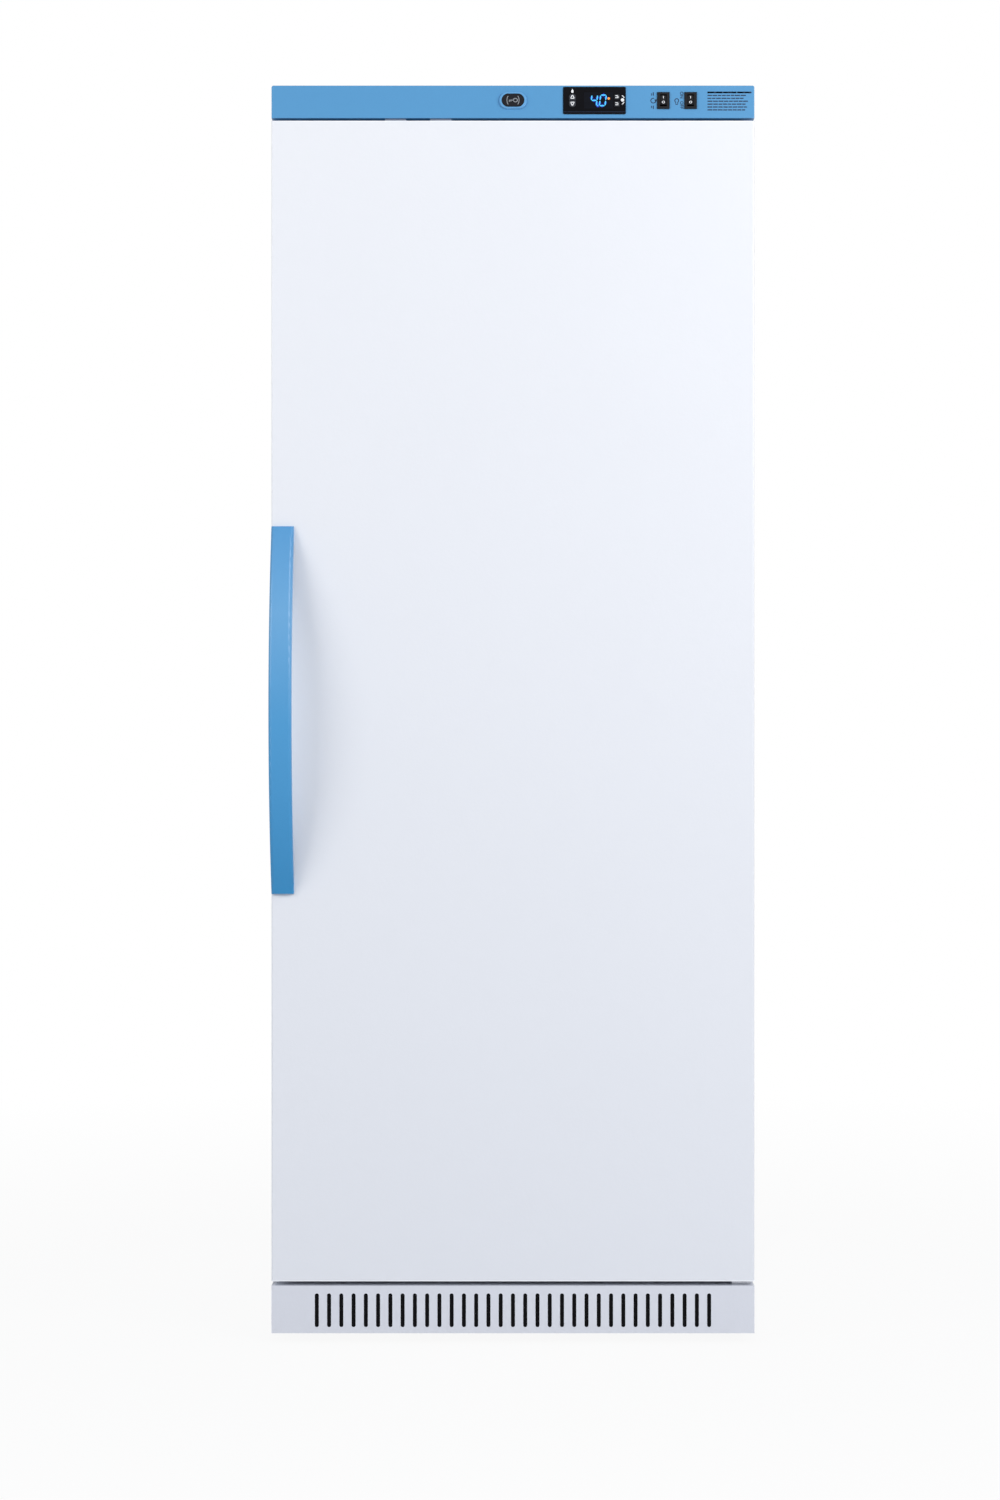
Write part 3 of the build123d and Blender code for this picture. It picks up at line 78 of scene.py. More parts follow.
# %% Camera
FRONT = cad_box[0][1] + 0.052          # plane of the door's front, behind the handle's bow
CAMERA_AWAY = 3.6
PICTURE_HEIGHT = 1500 * 1.2422e-3      # metres that the picture's height covers at the front plane
PICTURE_MIDDLE_X = -0.0161
PICTURE_MIDDLE_Z = 0.7365

camera_data = bpy.data.cameras.new("picture_camera")
camera_data.sensor_width = 36.0
camera_data.sensor_fit = "AUTO"
camera_data.lens = 36.0 * CAMERA_AWAY / PICTURE_HEIGHT
camera = bpy.data.objects.new("picture_camera", camera_data)
bpy.context.scene.collection.objects.link(camera)
camera.location = (PICTURE_MIDDLE_X, FRONT - CAMERA_AWAY, PICTURE_MIDDLE_Z)
camera.rotation_euler = (math.radians(90), 0, 0)
bpy.context.scene.camera = camera
print("lens %.1f mm at %.2f m from the front" % (camera_data.lens, CAMERA_AWAY))

# %% [markdown]
# ## Shader sums written as sums
# A node tree is easier to read when its arithmetic looks like arithmetic. The small class
# below wraps one output socket, and each operator on it adds the Math node it stands for. One
# method, add, makes every other kind of node from its type, its settings and its inputs.

# %% Socket arithmetic
class Value:
    """One output socket of a material's tree, with arithmetic."""

    def __init__(self, tree, socket):
        self.tree = tree
        self.socket = socket

    def _math(self, operation, *others):
        return self.tree.add("ShaderNodeMath", {"operation": operation}, *others)

    def __add__(self, other):
        return self._math("ADD", self, other)

    def __radd__(self, other):
        return self._math("ADD", other, self)

    def __sub__(self, other):
        return self._math("SUBTRACT", self, other)

    def __rsub__(self, other):
        return self._math("SUBTRACT", other, self)

    def __mul__(self, other):
        return self._math("MULTIPLY", self, other)

    def __rmul__(self, other):
        return self._math("MULTIPLY", other, self)

    def __truediv__(self, other):
        return self._math("DIVIDE", self, other)

    def __gt__(self, other):
        return self._math("GREATER_THAN", self, other)

    def __lt__(self, other):
        return self._math("LESS_THAN", self, other)

    def clamp(self):
        return self.tree.add("ShaderNodeClamp", {}, self, 0.0, 1.0)

    def fade(self, low, high):
        """0 at low and 1 at high, straight between and flat outside."""
        return self.tree.add("ShaderNodeMapRange", {"clamp": True}, self, low, high, 0.0, 1.0)


class Finish:
    """A material under construction: its tree, and the Principled shader at its end."""

    def __init__(self, name):
        self.material = bpy.data.materials.new(name)
        self.material.use_nodes = True
        self.nodes = self.material.node_tree.nodes
        self.links = self.material.node_tree.links
        self.shader = self.nodes["Principled BSDF"]
        place = self.nodes.new("ShaderNodeTexCoord")
        self.where = Value(self, place.outputs["Object"])

    def put(self, value, socket):
        if isinstance(value, Value):
            self.links.new(value.socket, socket)
        else:
            socket.default_value = value

    def add(self, kind, settings, *inputs, out=0, **named):
        node = self.nodes.new(kind)
        stops = settings.get("stops")
        for key, value in settings.items():
            if key != "stops":
                setattr(node, key, value)
        if stops:
            ramp = node.color_ramp
            while len(ramp.elements) < len(stops):
                ramp.elements.new(0.5)
            for element, (spot, colour) in zip(ramp.elements, stops):
                element.position = spot
                element.color = (*colour, 1.0)
        for socket, value in zip(node.inputs, inputs):
            if value is not None:
                self.put(value, socket)
        for key, value in named.items():
            self.put(value, node.inputs[key.replace("_", " ")])
        return Value(self, node.outputs[out])

    def axes(self):
        node = self.nodes.new("ShaderNodeSeparateXYZ")
        self.links.new(self.where.socket, node.inputs[0])
        return [Value(self, s) for s in node.outputs]

    def stretched(self, x, y, z):
        return self.add("ShaderNodeMapping", {}, self.where, None, None, (x, y, z))

    def noise(self, scale, detail=2.0, where=None, rough=0.5):
        return self.add("ShaderNodeTexNoise", {}, Vector=where or self.where,
                        Scale=scale, Detail=detail, Roughness=rough)

    def mix(self, share, first, second):
        """A blend of two colours by share, which is a number or a Value."""
        node = self.nodes.new("ShaderNodeMix")
        node.data_type = "RGBA"
        self.put(share, node.inputs[0])
        for value, socket in ((first, node.inputs[6]), (second, node.inputs[7])):
            self.put((*value, 1.0) if isinstance(value, tuple) else value, socket)
        return Value(self, node.outputs[2])

    def bump(self, height, strength, distance):
        node = self.nodes.new("ShaderNodeBump")
        node.inputs["Strength"].default_value = strength
        node.inputs["Distance"].default_value = distance
        self.links.new(height.socket, node.inputs["Height"])
        self.links.new(node.outputs["Normal"], self.shader.inputs["Normal"])

    def set(self, **sockets):
        for key, value in sockets.items():
            socket = self.shader.inputs[key.replace("_", " ")]
            if isinstance(value, tuple) and len(value) == 3:
                value = (*value, 1.0)
            self.put(value, socket)
        return self.material


def srgb(red, green, blue):
    """A colour read in 0-255 from the picture, as the linear numbers that shaders use."""
    def linear(c):
        c = c / 255.0
        return c / 12.92 if c <= 0.04045 else ((c + 0.055) / 1.055) ** 2.4
    return (linear(red), linear(green), linear(blue))


print("socket arithmetic ready")

# %% [markdown]
# ## Powder coat
# The cabinet and the door wear a white powder coat: a baked plastic skin with a faint
# orange-peel ripple a few millimetres across, which softens every reflection. A smooth white
# would look like paper, so the ripple comes from noise through a Bump node, and a slow drift
# of brightness stands for the slight unevenness of a real coat. On the door and the cabinet the
# white also carries painted shade: it is brightest at the top and turns a touch greyer towards
# the floor, where less of the lamps' light reaches.

# %% Powder coat finishes
def powder_coat(name, colour, shaded_low_colour=None, gloss=0.32, ripple=0.12, height=(0.1, 1.5)):
    coat = Finish(name)
    drift = coat.noise(2.2, detail=3.0)
    shade = coat.mix(drift.fade(0.35, 0.7), tuple(c * 0.985 for c in colour), colour)
    # painted shade: over the given heights the white blends down to the greyer low colour near the
    # floor, standing in for the lamps' light falling off there
    if shaded_low_colour:
        z = coat.axes()[2]
        shade = coat.mix(z.fade(*height), shaded_low_colour, shade)
    peel = coat.noise(260.0, detail=1.5)
    fine = coat.noise(1400.0, detail=1.0)
    coat.bump(peel + fine * 0.35, ripple, 0.0006)
    smear = coat.noise(9.0, detail=4.0)
    return coat.set(Base_Color=shade, Roughness=gloss + (smear - 0.5) * 0.08,
                    Coat_Weight=0.25, Coat_Roughness=0.18)


# the third colour of each white is the painted shade near the floor
door_white = powder_coat("door_white_powder", srgb(233, 235, 240), srgb(226, 229, 236))
body_white = powder_coat("cabinet_white_powder", srgb(232, 235, 240), srgb(226, 229, 235))
kick_white = powder_coat("kick_grille_powder", srgb(217, 220, 229), gloss=0.4)
panel_blue = powder_coat("control_panel_blue", srgb(80, 149, 199), gloss=0.42, ripple=0.15)
print("powder coats made")

# %% [markdown]
# ## The handle's satin blue
# The bow handle is a smooth satin moulding. Its blue carries painted light and shade: it is
# deepest at the foot and lightest where the upper half of the bow turns towards the lamps, so
# the colour follows the height a little, and hands have polished the grip in the middle.

# %% Handle finish
handle_blue = Finish("handle_satin_blue")
rise = handle_blue.axes()[2]
# painted light and shade by height: a darker blue at the foot, lightest up the bow where it faces
# the lamps
height_light_ramp = handle_blue.add(
    "ShaderNodeValToRGB",
    {"stops": [(0.0, srgb(46, 138, 194)), (0.45, srgb(74, 151, 204)),
               (0.75, srgb(104, 164, 211)), (1.0, srgb(84, 151, 204))]},
    rise.fade(0.56, 1.02),
)
polish = handle_blue.noise(38.0, detail=3.0)
skin = handle_blue.noise(900.0, detail=1.0)
handle_blue.bump(skin, 0.06, 0.0004)
handle_blue.set(Base_Color=height_light_ramp, Roughness=0.3 + polish * 0.1, Coat_Weight=0.1,
                Coat_Roughness=0.15, Specular_IOR_Level=0.4)

# painted reflection: the lock ring is polished chrome, and its blue base colour stands in for the
# blue panel reflected in the metal
ring_reflected_blue = Finish("lock_ring_blue")
ring_reflected_blue.bump(ring_reflected_blue.noise(1100.0), 0.05, 0.0003)
ring_reflected_blue.set(Base_Color=srgb(96, 162, 214), Roughness=0.24 + ring_reflected_blue.noise(60.0) * 0.08,
              Coat_Weight=0.4, Coat_Roughness=0.1)
print("blue mouldings made")

# %% [markdown]
# ## Metals
# Zinc-plated sheet shows a faint spangle and a brushed grain along its rolling direction. Noise
# stretched along one axis draws the grain, and it drives both the roughness and a little
# relief. Copper, aluminium fins and the enamelled compressor pot follow the same plan with
# other numbers.

# %% Metal finishes
def sheet_metal(name, colour, grain=(1.0, 60.0, 60.0), rough=0.38, dark=0.72, bump=0.08):
    metal = Finish(name)
    lines = metal.noise(14.0, detail=3.0, where=metal.stretched(*grain))
    cloud = metal.noise(5.0, detail=4.0)
    worn = metal.mix(cloud.fade(0.3, 0.75), tuple(c * dark for c in colour), colour)
    metal.bump(lines, bump, 0.0005)
    return metal.set(Base_Color=worn, Metallic=1.0, Roughness=rough + (lines - 0.5) * 0.22)


zinc = sheet_metal("zinc_plated_sheet", (0.66, 0.67, 0.69))
hinge_zinc = sheet_metal("hinge_zinc", (0.72, 0.73, 0.76), grain=(40.0, 40.0, 3.0), rough=0.3)
fins = sheet_metal("fin_aluminium", (0.80, 0.81, 0.83), grain=(3.0, 3.0, 90.0), rough=0.45)
copper = sheet_metal("copper_tube", (0.80, 0.44, 0.28), grain=(8.0, 8.0, 8.0), rough=0.28,
                     dark=0.55)
cylinder_metal = sheet_metal("lock_cylinder_nickel", (0.70, 0.69, 0.66), grain=(50.0, 3.0, 50.0),
                             rough=0.22)

pot_black = Finish("compressor_enamel")
dust = pot_black.noise(24.0, detail=5.0)
pot_black.bump(pot_black.noise(320.0), 0.1, 0.0005)
pot_black.set(Base_Color=pot_black.mix(dust.fade(0.5, 0.8), (0.010, 0.010, 0.011),
                                       (0.045, 0.043, 0.040)),
              Roughness=0.22 + dust * 0.3, Coat_Weight=0.5, Coat_Roughness=0.1)
print("metals made")

# %% [markdown]
# ## Plastics, rubber and foam
# Moulded plastic keeps the fine spark texture of its tool, rubber is dull and slightly
# mottled, and the foam between the sheets is a cream mass of small cells. One helper covers
# the moulded ones, with the grain, the sheen and the mottling as its numbers.

# %% Moulded finishes
def moulded(name, colour, rough=0.45, grain=1200.0, relief=0.12, mottle=0.06, coat=0.0,
            shine=0.5):
    plastic = Finish(name)
    patch = plastic.noise(17.0, detail=3.0)
    lighter = tuple(min(1.0, c * (1.0 + mottle) + mottle * 0.02) for c in colour)
    plastic.bump(plastic.noise(grain, detail=1.5), relief, 0.0003)
    return plastic.set(Base_Color=plastic.mix(patch.fade(0.35, 0.7), colour, lighter),
                       Roughness=rough + (patch - 0.5) * 0.1, Coat_Weight=coat,
                       Coat_Roughness=0.08, Specular_IOR_Level=shine)


gloss_black = moulded("controller_gloss_black", (0.0025, 0.0025, 0.004), rough=0.12, relief=0.01,
                      mottle=0.1, shine=0.16)
rocker_black = moulded("rocker_black", (0.006, 0.006, 0.008), rough=0.35, relief=0.05,
                       shine=0.3)
lock_black = moulded("lock_cover_black", (0.006, 0.006, 0.010), rough=0.4, relief=0.05,
                     shine=0.3)
texture_black = moulded("textured_black", (0.022, 0.022, 0.024), rough=0.6, relief=0.3)
button_grey = moulded("button_grey", srgb(50, 52, 60), rough=0.42, relief=0.08, shine=0.3)
pad_grey = moulded("pad_grey", srgb(42, 44, 50), rough=0.45, relief=0.08, shine=0.3)
tab_grey = moulded("sensor_grey", srgb(192, 196, 206), rough=0.5)
cap_white = moulded("end_cap_white", srgb(236, 239, 244), rough=0.4, relief=0.06)
liner_white = moulded("liner_white", srgb(240, 242, 244), rough=0.22, grain=420.0, relief=0.05,
                      mottle=0.02, coat=0.3)
lamp_white = moulded("lamp_opal", srgb(244, 245, 246), rough=0.3, relief=0.02, mottle=0.01)
grey_plastic = moulded("port_grey", srgb(150, 153, 158), rough=0.5)
wire_white = moulded("shelf_wire_coat", srgb(236, 238, 240), rough=0.3, grain=700.0, relief=0.1,
                     coat=0.3)
roller_dark = moulded("roller_nylon", (0.035, 0.035, 0.038), rough=0.5)
gasket_grey = moulded("gasket_rubber", srgb(196, 199, 204), rough=0.62, grain=500.0, relief=0.15)
plug_rubber = moulded("plug_rubber", srgb(120, 123, 128), rough=0.7, grain=300.0, relief=0.25)
magnet_grey = moulded("magnet_ferrite", (0.05, 0.05, 0.055), rough=0.55)

filter_black = Finish("filter_open_foam")
pores = filter_black.add("ShaderNodeTexVoronoi", {}, Vector=filter_black.where, Scale=700.0)
filter_black.bump(pores, 0.8, 0.001)
filter_black.set(Base_Color=filter_black.mix(pores.fade(0.1, 0.5), (0.0008, 0.0008, 0.001),
                                             (0.006, 0.006, 0.007)),
                 Roughness=0.95, Specular_IOR_Level=0.1)

foam_cream = Finish("foam_cream")
cell = foam_cream.add("ShaderNodeTexVoronoi", {}, Vector=foam_cream.where, Scale=420.0)
foam_cream.bump(cell, 0.5, 0.001)
foam_cream.set(Base_Color=foam_cream.mix(foam_cream.noise(12.0).fade(0.3, 0.7),
                                         (0.72, 0.58, 0.30), (0.86, 0.74, 0.46)),
               Roughness=0.8)
print("moulded finishes made")

# %% [markdown]
# ## The display window
# The lens is smoked acrylic over dark segments. Behind it real glass would show depth, but the
# export keeps only surface colour, so the lens is a glossy near-black skin and the lit
# segments lie on its face as thin pieces with their own light.

# %% Display finishes
lens_smoke = Finish("display_smoke")
lens_smoke.set(Base_Color=lens_smoke.mix(lens_smoke.noise(80.0), (0.0035, 0.004, 0.007),
                                         (0.006, 0.007, 0.011)),
               Roughness=0.06, Specular_IOR_Level=0.16)


def lit(name, colour, power):
    glow = Finish(name)
    flicker = glow.noise(300.0)
    return glow.set(Base_Color=tuple(c * 0.3 for c in colour), Roughness=0.4,
                    Emission_Color=glow.mix(flicker.fade(0.2, 0.8), colour,
                                            tuple(min(1.0, c * 1.15 + 0.01) for c in colour)),
                    Emission_Strength=power)


digit_blue = lit("digit_light", srgb(70, 190, 255), 1.0)
digit_halo = lit("digit_halo", srgb(10, 44, 190), 0.7)
dot_orange = lit("dot_orange", srgb(255, 150, 60), 1.0)
print_white = moulded("printed_white", srgb(232, 234, 236), rough=0.5, relief=0.0)
print_grey = moulded("printed_grey", srgb(150, 154, 160), rough=0.5, relief=0.0)
print_navy = moulded("printed_navy", srgb(16, 40, 72), rough=0.5, relief=0.0)
print("display finishes made")

# %% [markdown]
# ## Every solid gets its finish
# The solids arrive with flat colours from their record. The table below names the finish of
# each one; a node that is missing from it would keep its flat colour, so the cell counts them.

# %% Finishes of the solids
finish_of = {
    "left_side_panel": body_white, "right_side_panel": body_white, "top_cover": body_white,
    "back_panel": zinc, "face_rails": body_white, "cabinet_foam": foam_cream,
    "inner_liner": liner_white, "electronics_deck": zinc, "machine_room_baffle": zinc,
    "base_pan": zinc, "kick_grille": kick_white, "air_filter": filter_black,
    "rear_machine_cover": zinc, "control_fascia": panel_blue, "controller_case": gloss_black,
    "display_lens": lens_smoke.material,
    "rocker_frames": rocker_black, "lock_housing": ring_reflected_blue.material, "reed_switches": tab_grey,
    "upper_hinge": hinge_zinc, "lower_hinge": hinge_zinc, "shelf_standards": zinc,
    "shelf_clips": hinge_zinc, "evaporator_cover": liner_white, "evaporator_coil": fins,
    "evaporator_motor": texture_black, "interior_lamp": lamp_white, "port_sleeve": grey_plastic,
    "compressor": pot_black.material, "condenser_coil": fins, "condenser_shroud": zinc,
    "drip_tray": texture_black, "refrigerant_lines": copper, "power_inlet": texture_black,
    "door_skin": door_white, "door_foam": foam_cream.material, "door_inner_panel": liner_white,
    "door_gasket": gasket_grey, "door_top_cap": cap_white, "door_bottom_cap": cap_white,
    "door_handle": handle_blue.material, "door_magnets": magnet_grey,
    "lock_cylinder": cylinder_metal, "lock_cover": lock_black, "reset_rocker": rocker_black,
    "lamp_rocker": rocker_black, "up_button": button_grey, "down_button": button_grey,
    "mute_button": pad_grey, "set_button": pad_grey, "left_foot": texture_black,
    "right_foot": texture_black, "rear_rollers": roller_dark, "evaporator_fan": texture_black,
    "condenser_fan": texture_black, "port_plug": plug_rubber,
    "shelf_1": wire_white, "shelf_2": wire_white, "shelf_3": wire_white, "shelf_4": wire_white,
}
for node_name, node_object in frame["nodes"].items():
    chosen = finish_of[node_name]
    chosen = chosen.material if isinstance(chosen, Finish) else chosen
    node_object.data.materials.clear()
    node_object.data.materials.append(chosen)
print("finished", len(frame["nodes"]), "solids")

# %% [markdown]
# ## Trees of Geometry Nodes, written the same way
# What repeats on this machine, its slots, wires, rings, screws and printed lines, is made by
# Geometry Nodes. The alternative is a loop in Python that copies a mesh, which is quick to
# write but leaves no sizes to turn.

# %% Geometry Nodes helper
class Shape:
    """A Geometry Nodes tree under construction, with named sizes."""

    def __init__(self, name, sizes):
        self.tree = bpy.data.node_groups.new(name, "GeometryNodeTree")
        self.nodes, self.links = self.tree.nodes, self.tree.links
        face = self.tree.interface
        face.new_socket("Geometry", in_out="INPUT", socket_type="NodeSocketGeometry")
        face.new_socket("Geometry", in_out="OUTPUT", socket_type="NodeSocketGeometry")
        self.sizes = dict(sizes)
        for key, value in self.sizes.items():
            whole = isinstance(value, int)
            kind = "NodeSocketInt" if whole else "NodeSocketFloat"
            face.new_socket(key, in_out="INPUT", socket_type=kind).default_value = value
        start = self.nodes.new("NodeGroupInput")
        self.given = {s.name: Value(self, s) for s in start.outputs if s.name}
        self.end = self.nodes.new("NodeGroupOutput")

    def put(self, value, socket):
        if isinstance(value, Value):
            self.links.new(value.socket, socket)
        else:
            socket.default_value = value

    def add(self, kind, settings, *inputs, out=0, **named):
        node = self.nodes.new(kind)
        for key, value in settings.items():
            setattr(node, key, value)
        for socket, value in zip(node.inputs, inputs):
            if value is not None:
                self.put(value, socket)
        for key, value in named.items():
            self.put(value, node.inputs[key.replace("_", " ")])
        return Value(self, node.outputs[out])

    def vector(self, x, y, z):
        return self.add("ShaderNodeCombineXYZ", {}, x, y, z)

    def join(self, *parts):
        node = self.nodes.new("GeometryNodeJoinGeometry")
        for part in parts:
            self.links.new(part.socket, node.inputs[0])
        return Value(self, node.outputs[0])

    def tube(self, start, end, radius, sides=8):
        """A closed round bar from start to end."""
        line = self.add("GeometryNodeCurvePrimitiveLine", {}, start, end)
        ring = self.add("GeometryNodeCurvePrimitiveCircle", {}, sides, Radius=radius)
        return self.add("GeometryNodeCurveToMesh", {}, line, ring, Fill_Caps=True)

    def row(self, count, first, step, thing):
        """count copies of thing, from first and step apart."""
        spots = self.add("GeometryNodeMeshLine", {"mode": "OFFSET"}, count, Start_Location=first,
                         Offset=step)
        return self.add("GeometryNodeInstanceOnPoints", {}, spots, Instance=thing)

    def close(self, result, material):
        real = self.add("GeometryNodeRealizeInstances", {}, result)
        self.links.new(self.add("GeometryNodeSetMaterial", {}, real, Material=material).socket,
                       self.end.inputs[0])

    def build(self, name, body, base=None, **sizes):
        """The tree's result with these sizes as one plain mesh object on a body."""
        host = bpy.data.objects.new(name + "_host", base or bpy.data.meshes.new(name + "_base"))
        bpy.context.scene.collection.objects.link(host)
        mod = host.modifiers.new("shape", "NODES")
        mod.node_group = self.tree
        for item in self.tree.interface.items_tree:
            key = item.name.replace(" ", "_")
            if item.in_out == "INPUT" and key in sizes:
                mod[item.identifier] = sizes[key]
        graph = bpy.context.evaluated_depsgraph_get()
        mesh = bpy.data.meshes.new_from_object(host.evaluated_get(graph))
        host.modifiers.remove(mod)
        bpy.data.objects.remove(host)
        piece = bpy.data.objects.new(name, mesh)
        bpy.context.scene.collection.objects.link(piece)
        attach(piece, body)
        print(name, "has", len(mesh.polygons), "faces")
        return piece


# %% [markdown]
# ## The kick grille
# Below the door a folded sheet lets air in through thirty-three upright slots with round
# ends. A boolean cut would do it, but Fill Curve is cleaner: it fills the space between an
# outer rectangle and the slot outlines, all flat, and Extrude gives the sheet its thickness.
# The plate then stands upright, and its two side returns and top edge are thin boxes.

# %% Kick grille tree
grille = Shape("kick_grille_tree", {
    "Width": 0.6, "Height": 0.059, "Depth": 0.062, "Sheet": 0.0012, "Slot Width": 0.005,
    "Slot Length": 0.042, "Pitch": 0.01523, "Count": 33, "Drop": 0.001,
    "Front Y": -0.284, "Floor Z": 0.012,
})
g = grille.given
slot_curve = grille.add("GeometryNodeCurvePrimitiveQuadrilateral", {"mode": "RECTANGLE"},
                        g["Slot Width"], g["Slot Length"])
slot_curve = grille.add("GeometryNodeFilletCurve", {"mode": "POLY"}, slot_curve,
                        Count=6, Radius=g["Slot Width"] * 0.499, Limit_Radius=True)
reach = (g["Count"] - 1) * g["Pitch"] * -0.5
slots = grille.row(g["Count"], grille.vector(reach, g["Drop"] * -1, 0.0),
                   grille.vector(g["Pitch"], 0.0, 0.0), slot_curve)
outline = grille.add("GeometryNodeCurvePrimitiveQuadrilateral", {"mode": "RECTANGLE"},
                     g["Width"], g["Height"])
flat = grille.add("GeometryNodeFillCurve", {"mode": "TRIANGLES"},
                  grille.join(outline, grille.add("GeometryNodeRealizeInstances", {}, slots)))
raised = grille.add("GeometryNodeExtrudeMesh", {"mode": "FACES"}, flat,
                    Offset=grille.vector(0.0, 0.0, 1.0), Offset_Scale=g["Sheet"],
                    Individual=False)
under = grille.add("GeometryNodeFlipFaces", {}, flat)
plate = grille.add("GeometryNodeMergeByDistance", {}, grille.join(raised, under),
                   Distance=0.00001)
upright = grille.add("GeometryNodeTransform", {}, plate,
                     Translation=grille.vector(0.0, g["Front Y"] + g["Sheet"],
                                               g["Floor Z"] + g["Height"] * 0.5),
                     Rotation=(math.radians(90), 0.0, 0.0))
side = grille.add("GeometryNodeMeshCube", {},
                  grille.vector(g["Sheet"], g["Depth"] - g["Sheet"], g["Height"]), 2, 2, 2)
middle_y = g["Front Y"] + (g["Depth"] + g["Sheet"]) * 0.5
right = grille.add("GeometryNodeTransform", {}, side,
                   Translation=grille.vector((g["Width"] - g["Sheet"]) * 0.5, middle_y,
                                             g["Floor Z"] + g["Height"] * 0.5))
left = grille.add("GeometryNodeTransform", {}, side,
                  Translation=grille.vector((g["Width"] - g["Sheet"]) * -0.5, middle_y,
                                            g["Floor Z"] + g["Height"] * 0.5))
top = grille.add("GeometryNodeMeshCube", {},
                 grille.vector(g["Width"] - g["Sheet"] * 2, g["Depth"] - g["Sheet"],
                               g["Sheet"]), 2, 2, 2)
top = grille.add("GeometryNodeTransform", {}, top,
                 Translation=grille.vector(0.0, middle_y,
                                           g["Floor Z"] + g["Height"] - g["Sheet"] * 0.5))
grille.close(grille.join(upright, right, left, top), kick_white)
low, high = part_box("kick_grille")
kick = grille.build("kick_grille_sheet", "cabinet", Width=high[0] - low[0],
                    Height=high[2] - low[2], Depth=high[1] - low[1], Front_Y=low[1],
                    Floor_Z=low[2])
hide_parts("kick_grille")

# %% [markdown]
# ## Wire shelves
# The shelves are welded from round wire with a white coat: close wires from front to back, a
# few thicker rods across below them, and a rod along the front edge. The solids carry every
# second wire only. Each tree input is a size of the shelf, so one tree serves all four.

# %% Wire shelf tree
wires = Shape("wire_shelf_tree", {
    "Half Width": 0.241, "Front": -0.2, "Back": 0.2, "Rod Bottom": 0.354, "Rod Radius": 0.0028,
    "Wire Radius": 0.002, "Wires": 29, "Rod Y": 0.15,
})
g = wires.given
wire_z = g["Rod Bottom"] + g["Rod Radius"] * 2 + g["Wire Radius"]
rod_z = g["Rod Bottom"] + g["Rod Radius"]
one_wire = wires.tube(wires.vector(0.0, g["Front"], wire_z), wires.vector(0.0, g["Back"], wire_z),
                      g["Wire Radius"])
step = (g["Half Width"] - g["Wire Radius"] * 2) * 2 / (g["Wires"] - 1)
all_wires = wires.row(g["Wires"], wires.vector((g["Half Width"] - g["Wire Radius"] * 2) * -1,
                                               0.0, 0.0),
                      wires.vector(step, 0.0, 0.0), one_wire)
rods = []
for place in (g["Rod Y"] * -1, g["Rod Y"], g["Front"] + g["Rod Radius"] * 1.5,
              g["Back"] - g["Rod Radius"] * 1.5, g["Rod Y"] * 0.0):
    rods.append(wires.tube(wires.vector(g["Half Width"] * -1, place, rod_z),
                           wires.vector(g["Half Width"], place, rod_z), g["Rod Radius"], 10))
wires.close(wires.join(all_wires, *rods), wire_white)
for number in range(1, 5):
    low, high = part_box("shelf_%d" % number)
    shelf = wires.build("shelf_%d_wires" % number, "cabinet", Half_Width=high[0], Front=low[1],
                        Back=high[1], Rod_Bottom=low[2])
    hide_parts("shelf_%d" % number)

# %% [markdown]
# ## Fan rotors
# A moulded axial fan has five blades that twist from a steep root to a flatter tip, because
# the tip runs faster. The solids keep them flat. Here one blade starts as a flat grid: Set
# Position rolls it round the hub and twists it by its distance from the axle, Extrude gives it
# a wall, and five copies are turned round the hub.

# %% Fan tree
fan = Shape("fan_tree", {
    "Hub Radius": 0.02, "Tip Radius": 0.049, "Depth": 0.016, "Blades": 5, "Root Pitch": 0.8,
    "Tip Pitch": 0.45, "Wall": 0.0012, "Shaft Radius": 0.003, "Shaft Length": 0.02,
})
g = fan.given
span = g["Tip Radius"] - g["Hub Radius"]
chord = g["Depth"] * 1.1
grid = fan.add("GeometryNodeMeshGrid", {}, span + 0.001, chord, 7, 7)
place = fan.add("GeometryNodeInputPosition", {})
split = fan.nodes.new("ShaderNodeSeparateXYZ")
fan.links.new(place.socket, split.inputs[0])
along, across = Value(fan, split.outputs[0]), Value(fan, split.outputs[1])
out = along + (g["Tip Radius"] + g["Hub Radius"]) * 0.5 - 0.0005
share = (out - g["Hub Radius"]) / span
pitch = g["Root Pitch"] + (g["Tip Pitch"] - g["Root Pitch"]) * share
wide = across * (1.0 + share * 0.5)
turn = wide * fan.add("ShaderNodeMath", {"operation": "COSINE"}, pitch) / out
rise_z = wide * fan.add("ShaderNodeMath", {"operation": "SINE"}, pitch)
bent = fan.vector(out * fan.add("ShaderNodeMath", {"operation": "COSINE"}, turn),
                  out * fan.add("ShaderNodeMath", {"operation": "SINE"}, turn),
                  rise_z + g["Depth"] * 0.5)
skin = fan.add("GeometryNodeSetPosition", {}, grid, Position=bent)
thick = fan.add("GeometryNodeExtrudeMesh", {"mode": "FACES"}, skin, Offset_Scale=g["Wall"],
                Individual=False)
blade = fan.add("GeometryNodeMergeByDistance", {},
                fan.join(thick, fan.add("GeometryNodeFlipFaces", {}, skin)), Distance=0.000005)
stops = fan.add("GeometryNodePoints", {}, g["Blades"])
index = fan.add("GeometryNodeInputIndex", {})
blades = fan.add("GeometryNodeInstanceOnPoints", {}, stops, Instance=blade,
                 Rotation=fan.vector(0.0, 0.0, index * (2 * math.pi) / g["Blades"]))
hub = fan.add("GeometryNodeMeshCylinder", {}, 32, 1, 1, g["Hub Radius"], g["Depth"])
hub = fan.add("GeometryNodeTransform", {}, hub,
              Translation=fan.vector(0.0, 0.0, g["Depth"] * 0.5))
shaft = fan.tube(fan.vector(0.0, 0.0, g["Depth"] * 0.9),
                 fan.vector(0.0, 0.0, g["Depth"] + g["Shaft Length"]), g["Shaft Radius"], 14)
fan.close(fan.join(blades, hub, shaft), texture_black)

